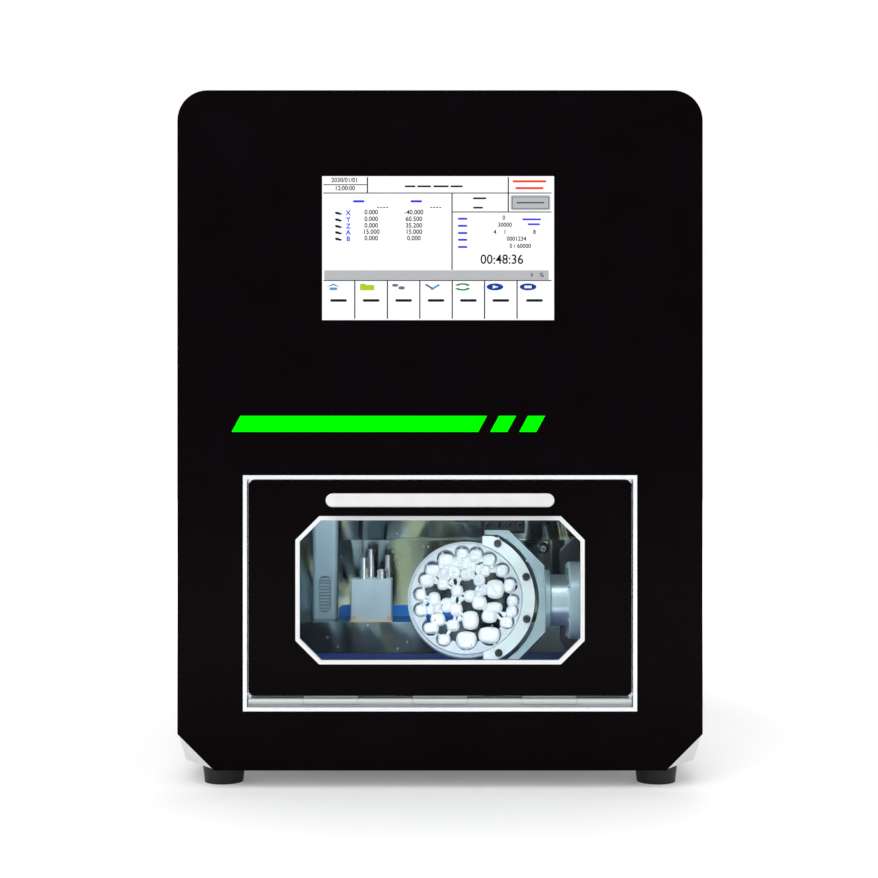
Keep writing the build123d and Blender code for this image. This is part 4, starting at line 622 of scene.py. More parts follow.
# The trough's colours are painted reflection too; its left wall takes the painted light
trough_steel = wavy_steel(
    "trough_steel", srgb(34, 48, 56), srgb(96, 122, 132), srgb(110, 114, 88), 0.75, 15.0, 0.007,
    (1.0, 1.0, 0.4), side=0.140
)
roof_steel = wavy_steel(
    "roof_steel", steel_dark_reflection, steel_pale_reflection, steel_pale_reflection, 0.2, 9.0, 0.003, (1.0, 1.0, 1.0)
)
dress(trough_steel, "chamber_tub")
dress(wall_steel, "chamber_rear_wall")
dress(roof_steel, "chamber_roof")

# A shallow tray of blue plastic lies on the chamber floor for the chips, and a blue rubber
# strip runs along the foot of the low wall.
coated("tray_blue", "chip_tray", (6, 60, 138), (4, 46, 112), 0.4, 500, 0.1, IOR=1.45)
coated("strip_blue", "wall_strip", (30, 154, 255), (22, 136, 244), 0.45, 900, 0.1, IOR=1.4)

# The suction duct is a painted steel column on the ledge, with louvres set in its inlet. Behind
# the chamber its collar meets the dust pipe, a grey plastic tube that ends in a spigot.
duct_paint = coated(
    "duct_paint", "suction_duct", (170, 194, 202), (150, 174, 184), 0.36, 500, 0.1, metallic=0.15,
    stretch=(1, 1, 0.3)
)
coated("pipe_plastic", "dust_pipe", (62, 64, 68), (48, 50, 54), 0.48, 800, 0.2, IOR=1.45)
slot_x = -0.1075
slot_half_width = 0.0053
slot_round_low = 0.1175
slot_round_high = 0.1405
louvre_y = 0.0078
louvre_pitch = 0.0029
louvre_half_depth = 0.0016
louvre_half_thick = 0.0003
louvre_lean = rotation(50, "X")
mesh = bmesh.new()
for number in range(-5, 6):
    level = (slot_round_low + slot_round_high) / 2 + number * louvre_pitch
    past_end = max(0.0, slot_round_low - level, level - slot_round_high)
    half = math.sqrt(slot_half_width**2 - past_end**2)
    corner = Vector((half, louvre_half_depth, louvre_half_thick))
    louvre = bmesh.new()
    block(louvre, -corner, corner, 0.0001, 1)
    add_copies(mesh, louvre, [Matrix.Translation((slot_x, louvre_y, level)) @ louvre_lean])
stand("duct_louvres", mesh, duct_paint, "cabinet", "duct_blue")

# A light strip under the front edge of the roof, a steel air nozzle and a dark ioniser bar
# with a row of needle points complete the chamber.
coated(
    "lamp_white", "chamber_lamp", (244, 248, 252), (236, 242, 250), 0.5, 600, 0.1,
    Emission_Color=(0.86, 0.94, 1.0, 1.0), Emission_Strength=2.4
)
coated(
    "nozzle_steel", "air_nozzle", (196, 202, 206), (160, 168, 174), 0.22, 900, 0.03, metallic=1.0
)
coated("ioniser_black", "ioniser", (34, 38, 44), (24, 27, 32), 0.42, 800, 0.1, IOR=1.45)
needle_places = (0.046, 0.056, 0.066, 0.076)
needle_front = 0.0390
needle_level = 0.192
mesh = bmesh.new()
profile = [(0, -0.001), (0.0022, -0.001), (0.0022, 0.0004), (0.0012, 0.0008), (0, 0.0022)]
spots = [(x, needle_front, needle_level) for x in needle_places]
add_facing(mesh, turned(profile, 16), spots, (0, -1, 0))
needle_steel = coated(
    "needle_steel", "", (96, 102, 108), (74, 80, 86), 0.4, 900, 0.03, metallic=1.0
)
stand("ioniser_needles", mesh, needle_steel, "cabinet", "steel")


def hang_lamp(name, spot, turn, length, width, power, colour=(1.0, 1.0, 1.0)):
    """A flat lamp that shines down before it is turned, in watts"""
    lamp = bpy.data.lights.new(name, "AREA")
    lamp.shape = "RECTANGLE"
    lamp.size = length
    lamp.size_y = width
    lamp.energy = power
    lamp.color = colour
    holder = add_object(name, lamp)
    holder.location = spot
    holder.rotation_euler = turn


cool_white = (0.90, 0.96, 1.0)
for name, spot, lean, length, width, power in (
    ("door_light", (0.0, -0.2335, 0.2325), 42, 0.24, 0.02, 0.138),
    ("ledge_light", (-0.02, -0.095, 0.2365), 48, 0.22, 0.03, 0.165),
    ("floor_light", (0.0, -0.2300, 0.0870), 115, 0.22, 0.02, 0.055)
):
    hang_lamp(name, spot, (math.radians(lean), 0, 0), length, width, power, cool_white)

# The tool magazine is a milled aluminium block on a brass plate, held by two screws, with four
# burs standing in it by their steel shanks.
coated(
    "block_metal", "tool_block", (196, 216, 221), (184, 204, 210), 0.5, 900, 0.08, metallic=0.35
)
shank_chrome = coated(
    "shank_chrome", "", (250, 251, 252), (232, 236, 238), 0.16, 1500, 0.02, metallic=0.95,
    stretch=(1, 1, 0.1)
)
brass = coated("brass", "", (214, 188, 148), (192, 164, 124), 0.3, 900, 0.04, metallic=1.0)
brass_low = 0.1062
brass_high = 0.1076
brass_reach = 0.0006
block_left = -0.082
block_right = -0.044
block_front = -0.022
block_back = 0.002
mesh = bmesh.new()
low = (block_left - brass_reach, block_front - brass_reach, brass_low)
high = (block_right + brass_reach, block_back + brass_reach, brass_high)
block(mesh, low, high, 0.0002, 1)
block_screw_level = 0.1100
spots = [(x, low[1], block_screw_level) for x in (-0.0785, -0.0475)]
add_facing(mesh, screw_head(0.0017, 0.0012), spots, (0, -1, 0))
stand("block_brass", mesh, brass, "cabinet", "brass")

block_top = 0.145
# Across, along, the shank's top, the stop ring's top, the radius of the shank and of the ring
burs = (
    (-0.0700, -0.0160, 0.0200, 0.0078, 0.0035, 0.0041),
    (-0.0535, -0.0160, 0.0092, 0.0078, 0.0030, 0.0044),
    (-0.0640, -0.0040, 0.0270, 0.0095, 0.0028, 0.0036),
    (-0.0475, -0.0040, 0.0215, 0.0095, 0.0031, 0.0036)
)
mesh = bmesh.new()
for x, y, reach, collar, shank, wide in burs:
    tip = [(0, -0.0240), (0.0006, -0.0240), (0.0012, -0.0232), (0.0012, -0.0135)]
    tip += [(0.0020, -0.0120), (0.0020, 0.0)]
    stop_ring = [(wide - 0.0003, 0.0), (wide, 0.0004), (wide, collar * 0.42)]
    stop_ring += [(wide - 0.0005, collar * 0.46), (wide - 0.0005, collar * 0.54)]
    stop_ring += [(wide, collar * 0.58), (wide, collar - 0.0004), (wide - 0.0003, collar)]
    end = [(shank, collar), (shank, reach - 0.0010), (shank - 0.0002, reach - 0.0009)]
    end += [(shank - 0.0002, reach - 0.0007), (shank, reach - 0.0006)]
    end += [(shank - 0.0006, reach), (0, reach)]
    bur = turned(tip + stop_ring + end, 28)
    add_copies(mesh, bur, [Matrix.Translation((x, y, block_top))])
stand("turned_burs", mesh, shank_chrome, "cabinet", "bright_metal", "milling_burs")

# Cooling water stands in small beads on the steel walls and on the inside of the pane.
water = coated(
    "water_bead", "", (206, 218, 223), (180, 196, 203), 0.08, 900, 0.01, IOR=1.45,
    Transmission_Weight=0.4
)
drops = random.Random(7)


def beads_on(mesh, count, low, high, outward, smallest, largest):
    """Scatters beads between two corners of a flat wall, each flat against it"""
    bead = bmesh.new()
    bmesh.ops.create_icosphere(bead, subdivisions=2, radius=1.0)
    bmesh.ops.scale(bead, vec=(1, 1, 0.5), verts=bead.verts)
    matrices = []
    for number in range(count):
        spot = Vector([drops.uniform(a, b) for a, b in zip(low, high)])
        size = smallest + (largest - smallest) * drops.random() ** 3
        long_way = 1 + 0.5 * drops.random()
        shape = Matrix.Diagonal((size, size * long_way, size, 1))
        matrices.append(facing(spot, outward) @ shape)
    add_copies(mesh, bead, matrices)


def shade_round(made):
    """Lets a piece look round across its faces"""
    for face in made.data.polygons:
        face.use_smooth = True


left_wall = -0.1478
ledge_face = -0.0252
low_wall = 0.0298
pane_inner = -0.2458
mesh = bmesh.new()
for count, low, high, outward, smallest, largest in (
    (70, (left_wall, -0.215, 0.085), (left_wall, 0.020, 0.225), (1, 0, 0), 0.0004, 0.0030),
    (20, (-0.140, ledge_face, 0.080), (0.020, ledge_face, 0.103), (0, -1, 0), 0.0004, 0.0018),
    (24, (-0.094, low_wall, 0.120), (0.000, low_wall, 0.176), (0, -1, 0), 0.0005, 0.0020)
):
    beads_on(mesh, count, low, high, outward, smallest, largest)
shade_round(stand("wall_beads", mesh, water, "cabinet", "clear"))
mesh = bmesh.new()
low = (-0.085, pane_inner, 0.108)
high = (0.085, pane_inner, 0.204)
beads_on(mesh, 36, low, high, (0, 1, 0), 0.0003, 0.0007)
shade_round(stand("pane_beads", mesh, water, "door", "clear"))

# The tilting drive is an eight-sided blackened housing on the chamber's right wall. Its turned
# shaft and flange carry the yoke, an anodised aluminium frame round the holder.
drive_black = coated(
    "drive_black", "a_axis_housing", (58, 66, 72), (40, 47, 53), 0.36, 700, 0.08, metallic=0.55
)
shaft_metal, place, shader = start_finish("shaft_metal")
rings = place.noise(900.0, 3.0, (1, 0.1, 0.1))
flange_start = 0.107
is_flange = place.axis(0).over(flange_start)
feed(shader, {
    "Base Color": is_flange.mix(srgb(182, 202, 208), srgb(172, 196, 202)),
    "Metallic": 0.75 - is_flange * 0.5,
    "Roughness": rings * 0.12 + 0.3,
})
yoke_paint = coated(
    "yoke_paint", "yoke", (147, 170, 175), (132, 155, 162), 0.38, 900, 0.06, metallic=0.3
)
dress(shaft_metal, "a_axis_flange")
dress(zinc, "pivot_pins")
bracket_low = (0.1045, -0.1105, 0.0880)
bracket_high = (0.1205, -0.0950, 0.1880)
bracket_cut = 0.011
mesh = bmesh.new()
block(mesh, bracket_low, bracket_high)
left_edges = []
for edge in mesh.edges:
    start, stop = (vert.co for vert in edge.verts)
    if max(start.x, stop.x) < bracket_low[0] + 1e-6 and abs(start.y - stop.y) > 0.001:
        left_edges.append(edge)
round_edges(mesh, left_edges, bracket_cut, 1)
round_edges(mesh, mesh.edges[:], 0.0008, 2)
stand("drive_bracket", mesh, drive_black, "cabinet", "black_metal")
collar_start = 0.0879
collar_long = 0.0046
collar_bore = 0.0214
collar_radius = 0.0255
drive_centre = Vector((0, -0.145, 0.138))
profile = [(collar_bore, 0), (collar_radius, 0), (collar_radius, collar_long - 0.0008)]
profile += [(collar_radius - 0.0008, collar_long), (collar_bore + 0.0004, collar_long)]
collar = turned(profile + [(collar_bore, collar_long - 0.0004), (collar_bore, 0)], 64)
mesh = bmesh.new()
add_facing(mesh, collar, [drive_centre + Vector((collar_start, 0, 0))], (1, 0, 0))
screw_circle = 0.0285
spots = []
for degrees in range(30, 360, 60):
    turn = math.radians(degrees)
    across = Vector((0, math.cos(turn), math.sin(turn))) * screw_circle
    spots.append(drive_centre + across + Vector((flange_start, 0, 0)))
add_facing(mesh, screw_head(0.0022, 0.0012), spots, (-1, 0, 0))
stand("shaft_collar", mesh, yoke_paint, "tilt_yoke", "yoke_blue")

# The holder is a C-shaped seat of pale anodised aluminium. A clamp ring of the same metal is
# screwed on it with four black socket screws and holds the blank by its ledge.
coated(
    "holder_paint", "blank_holder clamp_ring", (214, 225, 224), (201, 215, 215), 0.34, 900, 0.05,
    metallic=0.12, IOR=1.45
)
coated("screw_black", "clamp_screws", (44, 50, 54), (30, 34, 38), 0.34, 1200, 0.04, metallic=0.6)

# The blank is a disc of white zirconia that is nearly milled through. What is left of it is a
# rim, scalloped by the cutter, and some forty tooth crowns that hang on sprues and bridges.
disc_centre = Vector((0.022, -0.145, 0.138))
disc_tilt = 15
disc_radius = 0.04925
disc_step = 0.0024
disc_ledge = 0.010
disc_thick = 0.018
rim_width = 0.0050
disc_frame = Matrix.Translation(disc_centre) @ rotation(90 - disc_tilt, "X")
zirconia = coated(
    "zirconia", "", (245, 248, 249), (233, 238, 241), 0.3, 500, 0.1, IOR=1.6,
    Subsurface_Weight=0.25, Subsurface_Scale=0.002
)
# The rim is the same zirconia, given a greyer, bluer colour as painted shade
rim_zirconia_painted_shade = coated(
    "rim_zirconia_painted_shade", "", (206, 216, 223), (192, 204, 212), 0.28, 400, 0.1, IOR=1.5,
    Subsurface_Weight=0.2, Subsurface_Scale=0.003
)


def tooth(width, length, height, cusps, seed):
    """One crown: a rounded block, narrow at its neck, with cusps round a grooved chewing side.
    Without cusps it lies on that side, and shows the hollow that fits the stump."""
    crown = bmesh.new()
    bmesh.ops.create_cube(crown, size=2.0)
    bmesh.ops.subdivide_edges(crown, edges=crown.edges[:], cuts=9, use_grid_fill=True)
    draw = random.Random(seed)
    turn = draw.uniform(0, math.pi)
    cusp_reach = 0.56
    peaks = []
    for number in range(cusps):
        way = turn + 2 * math.pi * (number + draw.uniform(-0.1, 0.1)) / cusps
        rise = draw.uniform(0.75, 1.1)
        peaks.append((cusp_reach * math.cos(way), cusp_reach * math.sin(way), rise))
    roundness = 0.74
    ball_radius = 1.12
    shaped_from = 0.2
    for vert in crown.verts:
        x, y, z = vert.co.lerp(vert.co.normalized() * ball_radius, roundness)
        neck = 1 - 0.2 * max(0.0, -z) ** 2
        middle = x**2 + y**2
        share = min(1.0, (z - shaped_from) / 0.5)
        top = z
        if z > shaped_from and not cusps:
            top = z * 0.9 - 1.1 * math.exp(-((middle / 0.30) ** 2)) * share
        elif z > shaped_from:
            raised = 0
            for peak_x, peak_y, rise in peaks:
                raised += rise * math.exp(-((x - peak_x) ** 2 + (y - peak_y) ** 2) / 0.09)
            groove = math.exp(-middle / 0.10)
            split = math.exp(-((x * math.sin(turn) - y * math.cos(turn)) ** 2) / 0.006)
            inside = max(0.0, 1 - middle / 0.8)
            top = z * 0.8 + share * (0.26 * raised - 0.2 * groove - 0.14 * split * inside)
        vert.co = Vector((x * neck * width, y * neck * length, top * height))
    return crown


ledge_radius = disc_radius - disc_step
inner_radius = ledge_radius - rim_width
half_thick = disc_thick / 2
half_ledge = disc_ledge / 2
lower = [(inner_radius, 0.0006 - half_thick), (inner_radius + 0.0006, -half_thick)]
lower += [(ledge_radius - 0.0004, -half_thick), (ledge_radius, 0.0004 - half_thick)]
lower += [(ledge_radius, -half_ledge), (disc_radius - 0.0003, -half_ledge)]
lower += [(disc_radius, 0.0003 - half_ledge)]
upper = [(radius, -height) for radius, height in reversed(lower)]
rim_profile = lower + upper + lower[:1]
# Millimetres across and up, half the width, half the length, and the number of cusps
crowns = (
    (-17.3, 34.4, 6.2, 4.9, 4), (-3.3, 40.0, 5.0, 4.4, 4), (8.7, 38.3, 5.0, 4.5, 3),
    (19.9, 33.9, 5.0, 4.8, 4), (-6.7, 32.1, 4.4, 4.0, 3), (4.8, 28.4, 3.7, 4.6, 3),
    (16.4, 24.4, 3.7, 4.3, 3), (31.0, 25.0, 4.9, 4.8, 4), (-28.1, 25.0, 5.8, 4.5, 4),
    (-33.2, 16.1, 5.8, 4.9, 4), (-10.1, 23.2, 4.5, 4.7, 0), (0.2, 21.0, 4.4, 4.3, 0),
    (11.3, 16.6, 4.4, 4.4, 0), (-19.5, 13.5, 4.3, 4.6, 4), (-7.5, 7.6, 4.6, 4.5, 4),
    (24.6, 9.0, 6.7, 7.2, 4), (39.0, 12.6, 4.5, 5.4, 3), (-38.5, 3.9, 4.4, 4.9, 4),
    (-26.7, 0.6, 4.6, 5.2, 4), (3.4, 3.0, 4.6, 4.6, 4), (11.3, -2.6, 5.6, 5.2, 4),
    (-16.1, -4.6, 4.4, 5.6, 4), (-8.2, -8.4, 4.8, 4.8, 4), (39.2, -1.4, 4.3, 4.3, 3),
    (38.6, -10.4, 4.4, 4.4, 3), (23.6, -6.8, 6.2, 4.2, 4), (19.6, -14.2, 5.8, 4.8, 4),
    (3.6, -17.4, 6.2, 7.0, 4), (-38.0, -9.4, 4.7, 5.0, 4), (-23.8, -17.0, 5.6, 4.8, 4),
    (-11.0, -21.8, 4.9, 4.4, 4), (34.4, -20.0, 5.0, 4.8, 3), (-29.8, -24.2, 6.0, 4.3, 4),
    (-18.7, -34.2, 5.2, 4.5, 4), (0.2, -34.4, 7.8, 6.8, 4), (19.6, -30.4, 8.2, 6.3, 5),
    (-19.0, 23.4, 3.2, 3.0, 3), (14.6, 7.2, 3.4, 3.2, 3), (-24.4, -8.0, 3.3, 3.1, 3)
)
crown_scale = 1.05
crown_limit = 44.4
crown_height = 0.0058
crown_level = 0.0012
channel = 1.1
pocket_least = 37.2
pocket_most = 45.6
crown_spots = []
crown_halves = []
for x, y, width, length, cusps in crowns:
    half = max(width, length) * crown_scale
    spot = Vector((x, y))
    crown_spots.append(spot * min(1.0, (crown_limit - half) / spot.length))
    crown_halves.append(half)


def pocket_reach(turn):
    """How far from the centre the cutter has milled in one direction, in millimetres"""
    reach = pocket_least
    ahead = Vector((math.cos(turn), math.sin(turn)))
    for spot, half in zip(crown_spots, crown_halves):
        along = spot.dot(ahead)
        across = abs(spot.x * ahead.y - spot.y * ahead.x)
        if along > 0 and across < half + channel:
            reach = max(reach, along + math.sqrt((half + channel) ** 2 - across**2))
    return min(reach, pocket_most)


mesh = turned(rim_profile, 360)
for vert in mesh.verts:
    flat = vert.co.xy
    if flat.length < inner_radius + 0.0008:
        pocket = pocket_reach(math.atan2(flat.y, flat.x)) / 1000
        vert.co.xy = flat * ((flat.length - inner_radius + pocket) / flat.length)
mesh.transform(disc_frame)
stand("blank_rim", mesh, rim_zirconia_painted_shade, "blank_carrier", "blank", "milled_blank")

mesh = bmesh.new()
for seed, (spot, (x, y, width, length, cusps)) in enumerate(zip(crown_spots, crowns)):
    half_width = width * crown_scale / 1000
    half_length = length * crown_scale / 1000
    crown = tooth(half_width, half_length, crown_height, cusps, seed)
    move = Matrix.Translation((spot.x / 1000, spot.y / 1000, crown_level))
    add_copies(mesh, crown, [disc_frame @ move])
shade_round(stand("milled_crowns", mesh, zirconia, "blank_carrier", "blank"))

sprue_radius = 0.0013
sprue_level = 0.0008
sprue_reach = 15.0
outer_crown = 31.0
bridge_radius = 0.0023
bridge_reach = 16.5
bridge_spacing = 4.2
rim_hold = 1.0
mesh = bmesh.new()
joined = set()
links = []
for number, spot in enumerate(crown_spots):
    apart = [(other - spot).length for other in crown_spots]
    for near in sorted(range(len(apart)), key=apart.__getitem__)[1:4]:
        pair = tuple(sorted((number, near)))
        if pair not in joined and apart[near] < sprue_reach:
            joined.add(pair)
            links.append((spot, crown_spots[near]))
    if spot.length > outer_crown:
        pocket = pocket_reach(math.atan2(spot.y, spot.x))
        links.append((spot, spot.normalized() * (pocket + rim_hold)))
bridges = []
for trio in combinations(crown_spots, 3):
    middle = (trio[0] + trio[1] + trio[2]) / 3
    longest = max((one - other).length for one, other in combinations(trio, 2))
    clear = all((middle - spot).length > bridge_spacing for spot in bridges)
    if longest < bridge_reach and clear:
        bridges.append(middle)
        lump = bmesh.new()
        bmesh.ops.create_icosphere(lump, subdivisions=2, radius=bridge_radius)
        bmesh.ops.scale(lump, vec=(1, 1, 1.3), verts=lump.verts)
        move = Matrix.Translation((middle.x / 1000, middle.y / 1000, sprue_level))
        add_copies(mesh, lump, [disc_frame @ move])
        links += [(middle, spot) for spot in trio]
for start, stop in links:
    rod = bmesh.new()
    bmesh.ops.create_cone(
        rod, cap_ends=True, segments=10, radius1=sprue_radius, radius2=sprue_radius,
        depth=(stop - start).length / 1000
    )
    middle = (start + stop) / 2000
    bearing = math.atan2(stop.y - start.y, stop.x - start.x)
    along = Matrix.Rotation(bearing, 4, "Z") @ rotation(90, "Y")
    move = Matrix.Translation((middle.x, middle.y, sprue_level))
    add_copies(mesh, rod, [disc_frame @ move @ along])
stand("milled_sprues", mesh, zirconia, "blank_carrier", "blank")

# The spindle is a turned steel cylinder with a dark nose, in a split clamp on the head plate.
# Its rotor ends in a collet nut with spanner flats.
coated(
    "spindle_steel", "spindle_housing", (158, 166, 171), (120, 129, 135), 0.24, 900, 0.04,
    metallic=1.0, stretch=(1, 1, 6)
)
coated("rotor_steel", "spindle_rotor", (74, 80, 86), (54, 60, 66), 0.3, 1100, 0.04, metallic=1.0)
coated(
    "milled_aluminium", "spindle_clamp z_plate x_saddle gantry_beam side_frames", (196, 200, 204),
    (174, 179, 184), 0.4, 900, 0.06, metallic=0.9, stretch=(1, 0.2, 1)
)

# Ground steel rails carry the carriages of the three axes, and each axis has a ball screw with
# a rolled thread that is driven straight by its motor.
rail_steel = coated(
    "rail_steel", "y_rails x_rails z_rails", (206, 209, 213), (182, 186, 191), 0.16, 1300, 0.02,
    metallic=1.0, stretch=(1, 0.1, 1)
)
coated(
    "motor_black", "cabinet_motors x_motor z_motor", (36, 37, 40), (26, 27, 30), 0.46, 700, 0.1,
    IOR=1.45
)


def threaded_rod(radius, length, pitch, depth=0.0009, sides=20):
    """A rod along Z with a rolled helical groove, closed at both ends"""
    rod = bmesh.new()
    rows_per_turn = 6
    bmesh.ops.create_cone(
        rod, cap_ends=True, segments=sides, radius1=radius, radius2=radius, depth=length
    )
    upright = []
    for edge in rod.edges:
        start, stop = (vert.co for vert in edge.verts)
        if abs(start.z - stop.z) > length / 2:
            upright.append(edge)
    rows = int(length / pitch * rows_per_turn)
    bmesh.ops.subdivide_edges(rod, edges=upright, cuts=rows, use_grid_fill=True)
    for vert in rod.verts:
        bearing = math.atan2(vert.co.y, vert.co.x)
        height = vert.co.z + length / 2
        if 0.0001 < height < length - 0.0001:
            wave = 0.5 + 0.5 * math.cos(2 * math.pi * height / pitch - bearing)
            vert.co.xy *= 1 - depth / radius * wave**2
    return rod


screw_lead = 0.010
for node, radius, axis, hinge, degrees in (
    ("y_screw", 0.005, 1, "X", 90), ("x_screw", 0.005, 0, "Y", 90), ("z_screw", 0.004, 2, "Z", 0)
):
    low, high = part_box(node)
    rod = threaded_rod(radius, (high - low)[axis], screw_lead)
    rod.transform(Matrix.Translation((low + high) / 2) @ rotation(degrees, hinge))
    shade_round(stand(node + "_thread", rod, rail_steel, node, "ground_steel", node))

# The rear panel is a sheet of pale grey steel inside the cover's back edge, held by a row of
# screws. A bare aluminium plate is riveted on it.
coated("panel_grey", "rear_panel", (197, 199, 202), (192, 194, 198), 0.46, 900, 0.12, IOR=1.45)
plate_metal = coated(
    "plate_metal", "", (208, 210, 213), (192, 195, 199), 0.32, 1200, 0.03, metallic=0.9,
    stretch=(0.05, 1, 1)
)
panel_back = 0.246
panel_screw_columns = (-0.194, 0.194)
panel_screw_rows = (0.058, 0.175, 0.295, 0.415, 0.530)
panel_top_columns = (-0.130, -0.045, 0.045, 0.130)
panel_top_row = 0.534
round_corner = 0.5
mesh = bmesh.new()
spots = [(x, panel_back, panel_top_row) for x in panel_top_columns]
for x in panel_screw_columns:
    spots += [(x * (0.95 if z > round_corner else 1), panel_back, z) for z in panel_screw_rows]
add_facing(mesh, screw_head(screw_radius, screw_height), spots, (0, 1, 0))
stand("panel_screws", mesh, zinc, "cabinet", "ground_steel")

plate_low = (-0.060, panel_back, 0.250)
plate_high = (0.020, panel_back + 0.0006, 0.300)
mesh = bmesh.new()
block(mesh, plate_low, plate_high, 0.0002, 1)
profile = [(0, -0.0002), (0.0016, -0.0002), (0.0014, 0.0004), (0.0007, 0.0007), (0, 0.0008)]
rivet_inset = 0.004
columns = (plate_low[0] + rivet_inset, plate_high[0] - rivet_inset)
rows = (plate_low[2] + rivet_inset, plate_high[2] - rivet_inset)
spots = [(x, plate_high[1], z) for x in columns for z in rows]
add_facing(mesh, turned(profile, 16), spots, (0, 1, 0))
stand("bare_plate", mesh, plate_metal, "cabinet", "bright_metal")

# A box fan sits behind a ring guard of chromed wire, which is screwed on the panel's outside.
coated("fan_plastic", "fan_frame fan_rotor", (30, 31, 34), (22, 23, 25), 0.46, 800, 0.1, IOR=1.45)
fan_x = 0.110
fan_z = 0.440
guard_wire = 0.0009
guard_rise = 0.0030
guard_radii = (0.0075, 0.0145, 0.0215, 0.0285)
guard_corner = 0.025
wire_sides = 10
foot_radius = 0.0034
foot_thick = 0.0012
mesh = bmesh.new()
middle = Vector((fan_x, panel_back, fan_z))
rise = Vector((0, guard_rise, 0))
turns = [2 * math.pi * number / wire_sides for number in range(wire_sides + 1)]
section = [(guard_wire * math.cos(turn), guard_wire * math.sin(turn)) for turn in turns]
for radius in guard_radii:
    ring = turned([(radius + out, up) for out, up in section], 48)
    add_facing(mesh, ring, [middle + rise], (0, 1, 0))
spoke_reach = guard_radii[-1] + 0.0066
outline = [(0, 0), (guard_wire, 0), (guard_wire, spoke_reach), (0, spoke_reach)]
under_rings = Vector((0, guard_rise - 2 * guard_wire, 0))
corners = []
for degrees in range(45, 360, 90):
    turn = math.radians(degrees)
    outward = Vector((math.cos(turn), 0, math.sin(turn)))
    add_facing(mesh, turned(outline, wire_sides), [middle + under_rings], outward)
    corners.append(middle + outward * guard_corner * math.sqrt(2))
foot = turned([(0, 0), (foot_radius, 0), (foot_radius, foot_thick), (0, foot_thick)], 20)
add_facing(mesh, foot, corners, (0, 1, 0))
spots = [corner + Vector((0, foot_thick, 0)) for corner in corners]
add_facing(mesh, screw_head(0.0030, 0.0014), spots, (0, 1, 0))
stand("fan_guard", mesh, rail_steel, "cabinet", "ground_steel")

# Low on the rear panel are the power inlet and the switch in black plastic, two data sockets
# with metal shells and a brass push-in fitting for the air tube.
sockets_finish, place, shader = start_finish("socket_finish")
fine = place.noise(900.0, 3.0)
is_shell = place.axis(0).over(0.035)
is_plastic = place.axis(0).over(0.095)
brass_or_shell = is_shell.mix(srgb(206, 168, 104), srgb(178, 182, 186))
feed(shader, {
    "Base Color": is_plastic.mix(brass_or_shell, srgb(27, 28, 31)),
    "Metallic": 1 - is_plastic,
    "Roughness": fine * 0.12 + 0.3,
})
dress(sockets_finish, "rear_sockets")
coated("rocker_plastic", "power_rocker", (20, 20, 22), (14, 14, 16), 0.36, 700, 0.1, IOR=1.45)
mark_white = coated("mark_white", "", (232, 233, 234), (220, 222, 224), 0.5, 900, 0.04, IOR=1.4)
mark_thick = 0.00012
mark_half = 0.0027
mark_x = 0.130
mesh = bmesh.new()
profile = [(0.0021, 0), (mark_half, 0), (mark_half, mark_thick), (0.0021, mark_thick), (0.0021, 0)]
add_facing(mesh, turned(profile, 32), [(mark_x, 0.24816, 0.12480)], (0, 0.9996, -0.018))
stroke = bmesh.new()
block(stroke, (-mark_half, -0.0004, 0.0), (mark_half, 0.0004, mark_thick))
lower_face = facing((mark_x, 0.24992, 0.11232), (0, 0.956, 0.292))
add_copies(mesh, stroke, [lower_face @ rotation(90, "Z")])
stand("rocker_marks", mesh, mark_white, "rocker", "trim_white")

# Inside, the power supply has a zinc-plated case with punched air holes, and the controller on
# the rear panel is a finned aluminium box.
case_finish, place, shader = start_finish("case_finish")
fine = place.noise(500.0, 3.0)
is_controller = place.axis(2).over(0.12)
feed(shader, {
    "Base Color": is_controller.mix(srgb(184, 188, 192), srgb(58, 60, 64)),
    "Metallic": 1 - is_controller * 0.5,
    "Roughness": fine * 0.14 + 0.34,
    "Normal": fine.relief(0.25, 0.0001),
})
dress(case_finish, "electronics")

# The floor and the backdrop are one pale sweep. The lights are a large soft box above the
# camera, a weaker one at each side and a pale sky.


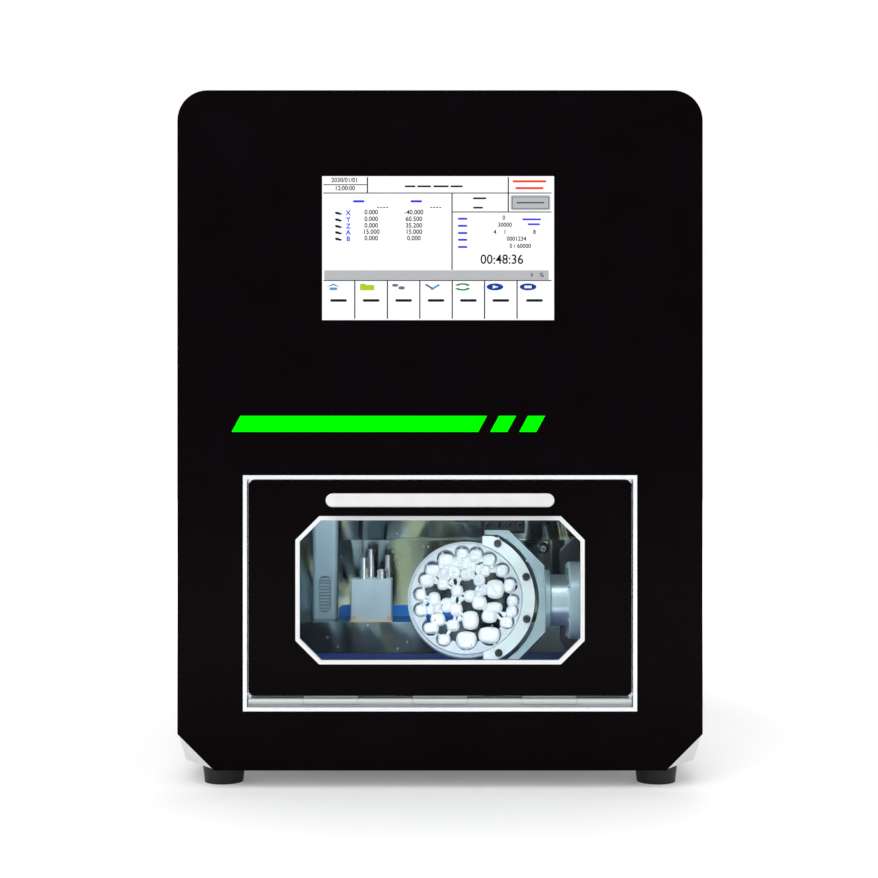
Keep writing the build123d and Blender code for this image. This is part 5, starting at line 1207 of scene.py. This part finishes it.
def rays_seen(tree):
    """1 on a view from the camera, past a mirror or through glass, and 0 for light alone"""
    path = tree.nodes.new("ShaderNodeLightPath")
    views = ("Is Camera Ray", "Is Glossy Ray", "Is Transmission Ray")
    straight, mirrored, through = (Signal(tree, path.outputs[view]) for view in views)
    return (straight + mirrored + through).clamped(0.0, 1.0)


floor_white, place, shader = start_finish("studio_white")
distance = place.node("ShaderNodeVectorMath", {"operation": "LENGTH"}, {0: place}, "Value")
near_glow = 0.16
far_glow = 1.0
near_reach = 0.30
far_reach = 1.10
spread = ((distance - near_reach) * (1 / (far_reach - near_reach))).clamped(0.0, 1.0)
glow = (spread * (far_glow - near_glow) + near_glow) * rays_seen(floor_white.node_tree)
feed(shader, {
    "Base Color": place.noise(4.0).mix((0.86, 0.86, 0.86, 1.0), (0.90, 0.90, 0.90, 1.0)),
    "Roughness": place.noise(9.0) * 0.1 + 0.8,
    "Emission Color": glow.mix((0.0, 0.0, 0.0, 1.0), (1.0, 1.0, 1.0, 1.0)),
    "Emission Strength": 1.0,
})
mesh = bmesh.new()
floor_half = 6.0
bmesh.ops.create_grid(mesh, x_segments=1, y_segments=1, size=floor_half)
add_mesh("floor", mesh, floor_white)

world = bpy.data.worlds.new("studio")
bpy.context.scene.world = world
world.use_nodes = True
sky_strength = 0.55
backdrop_strength = 1.0
strength = rays_seen(world.node_tree) * (backdrop_strength - sky_strength) + sky_strength
feed(world.node_tree.nodes["Background"], {"Color": (1.0, 1.0, 1.0, 1.0), "Strength": strength})

for name, spot, target_level, size, power in (
    ("key_light", (-0.5, -2.0, 1.9), 0.3, 1.6, 26.0),
    ("left_light", (-2.2, -0.6, 0.9), 0.25, 1.2, 9.0),
    ("right_light", (2.2, -0.4, 0.9), 0.25, 1.2, 9.0),
    ("back_light", (0.4, 2.2, 1.6), 0.3, 1.4, 14.0)
):
    direction = Vector((0.0, 0.0, target_level)) - Vector(spot)
    turn = direction.to_track_quat("-Z", "Y").to_euler()
    hang_lamp(name, spot, turn, size, size, power)
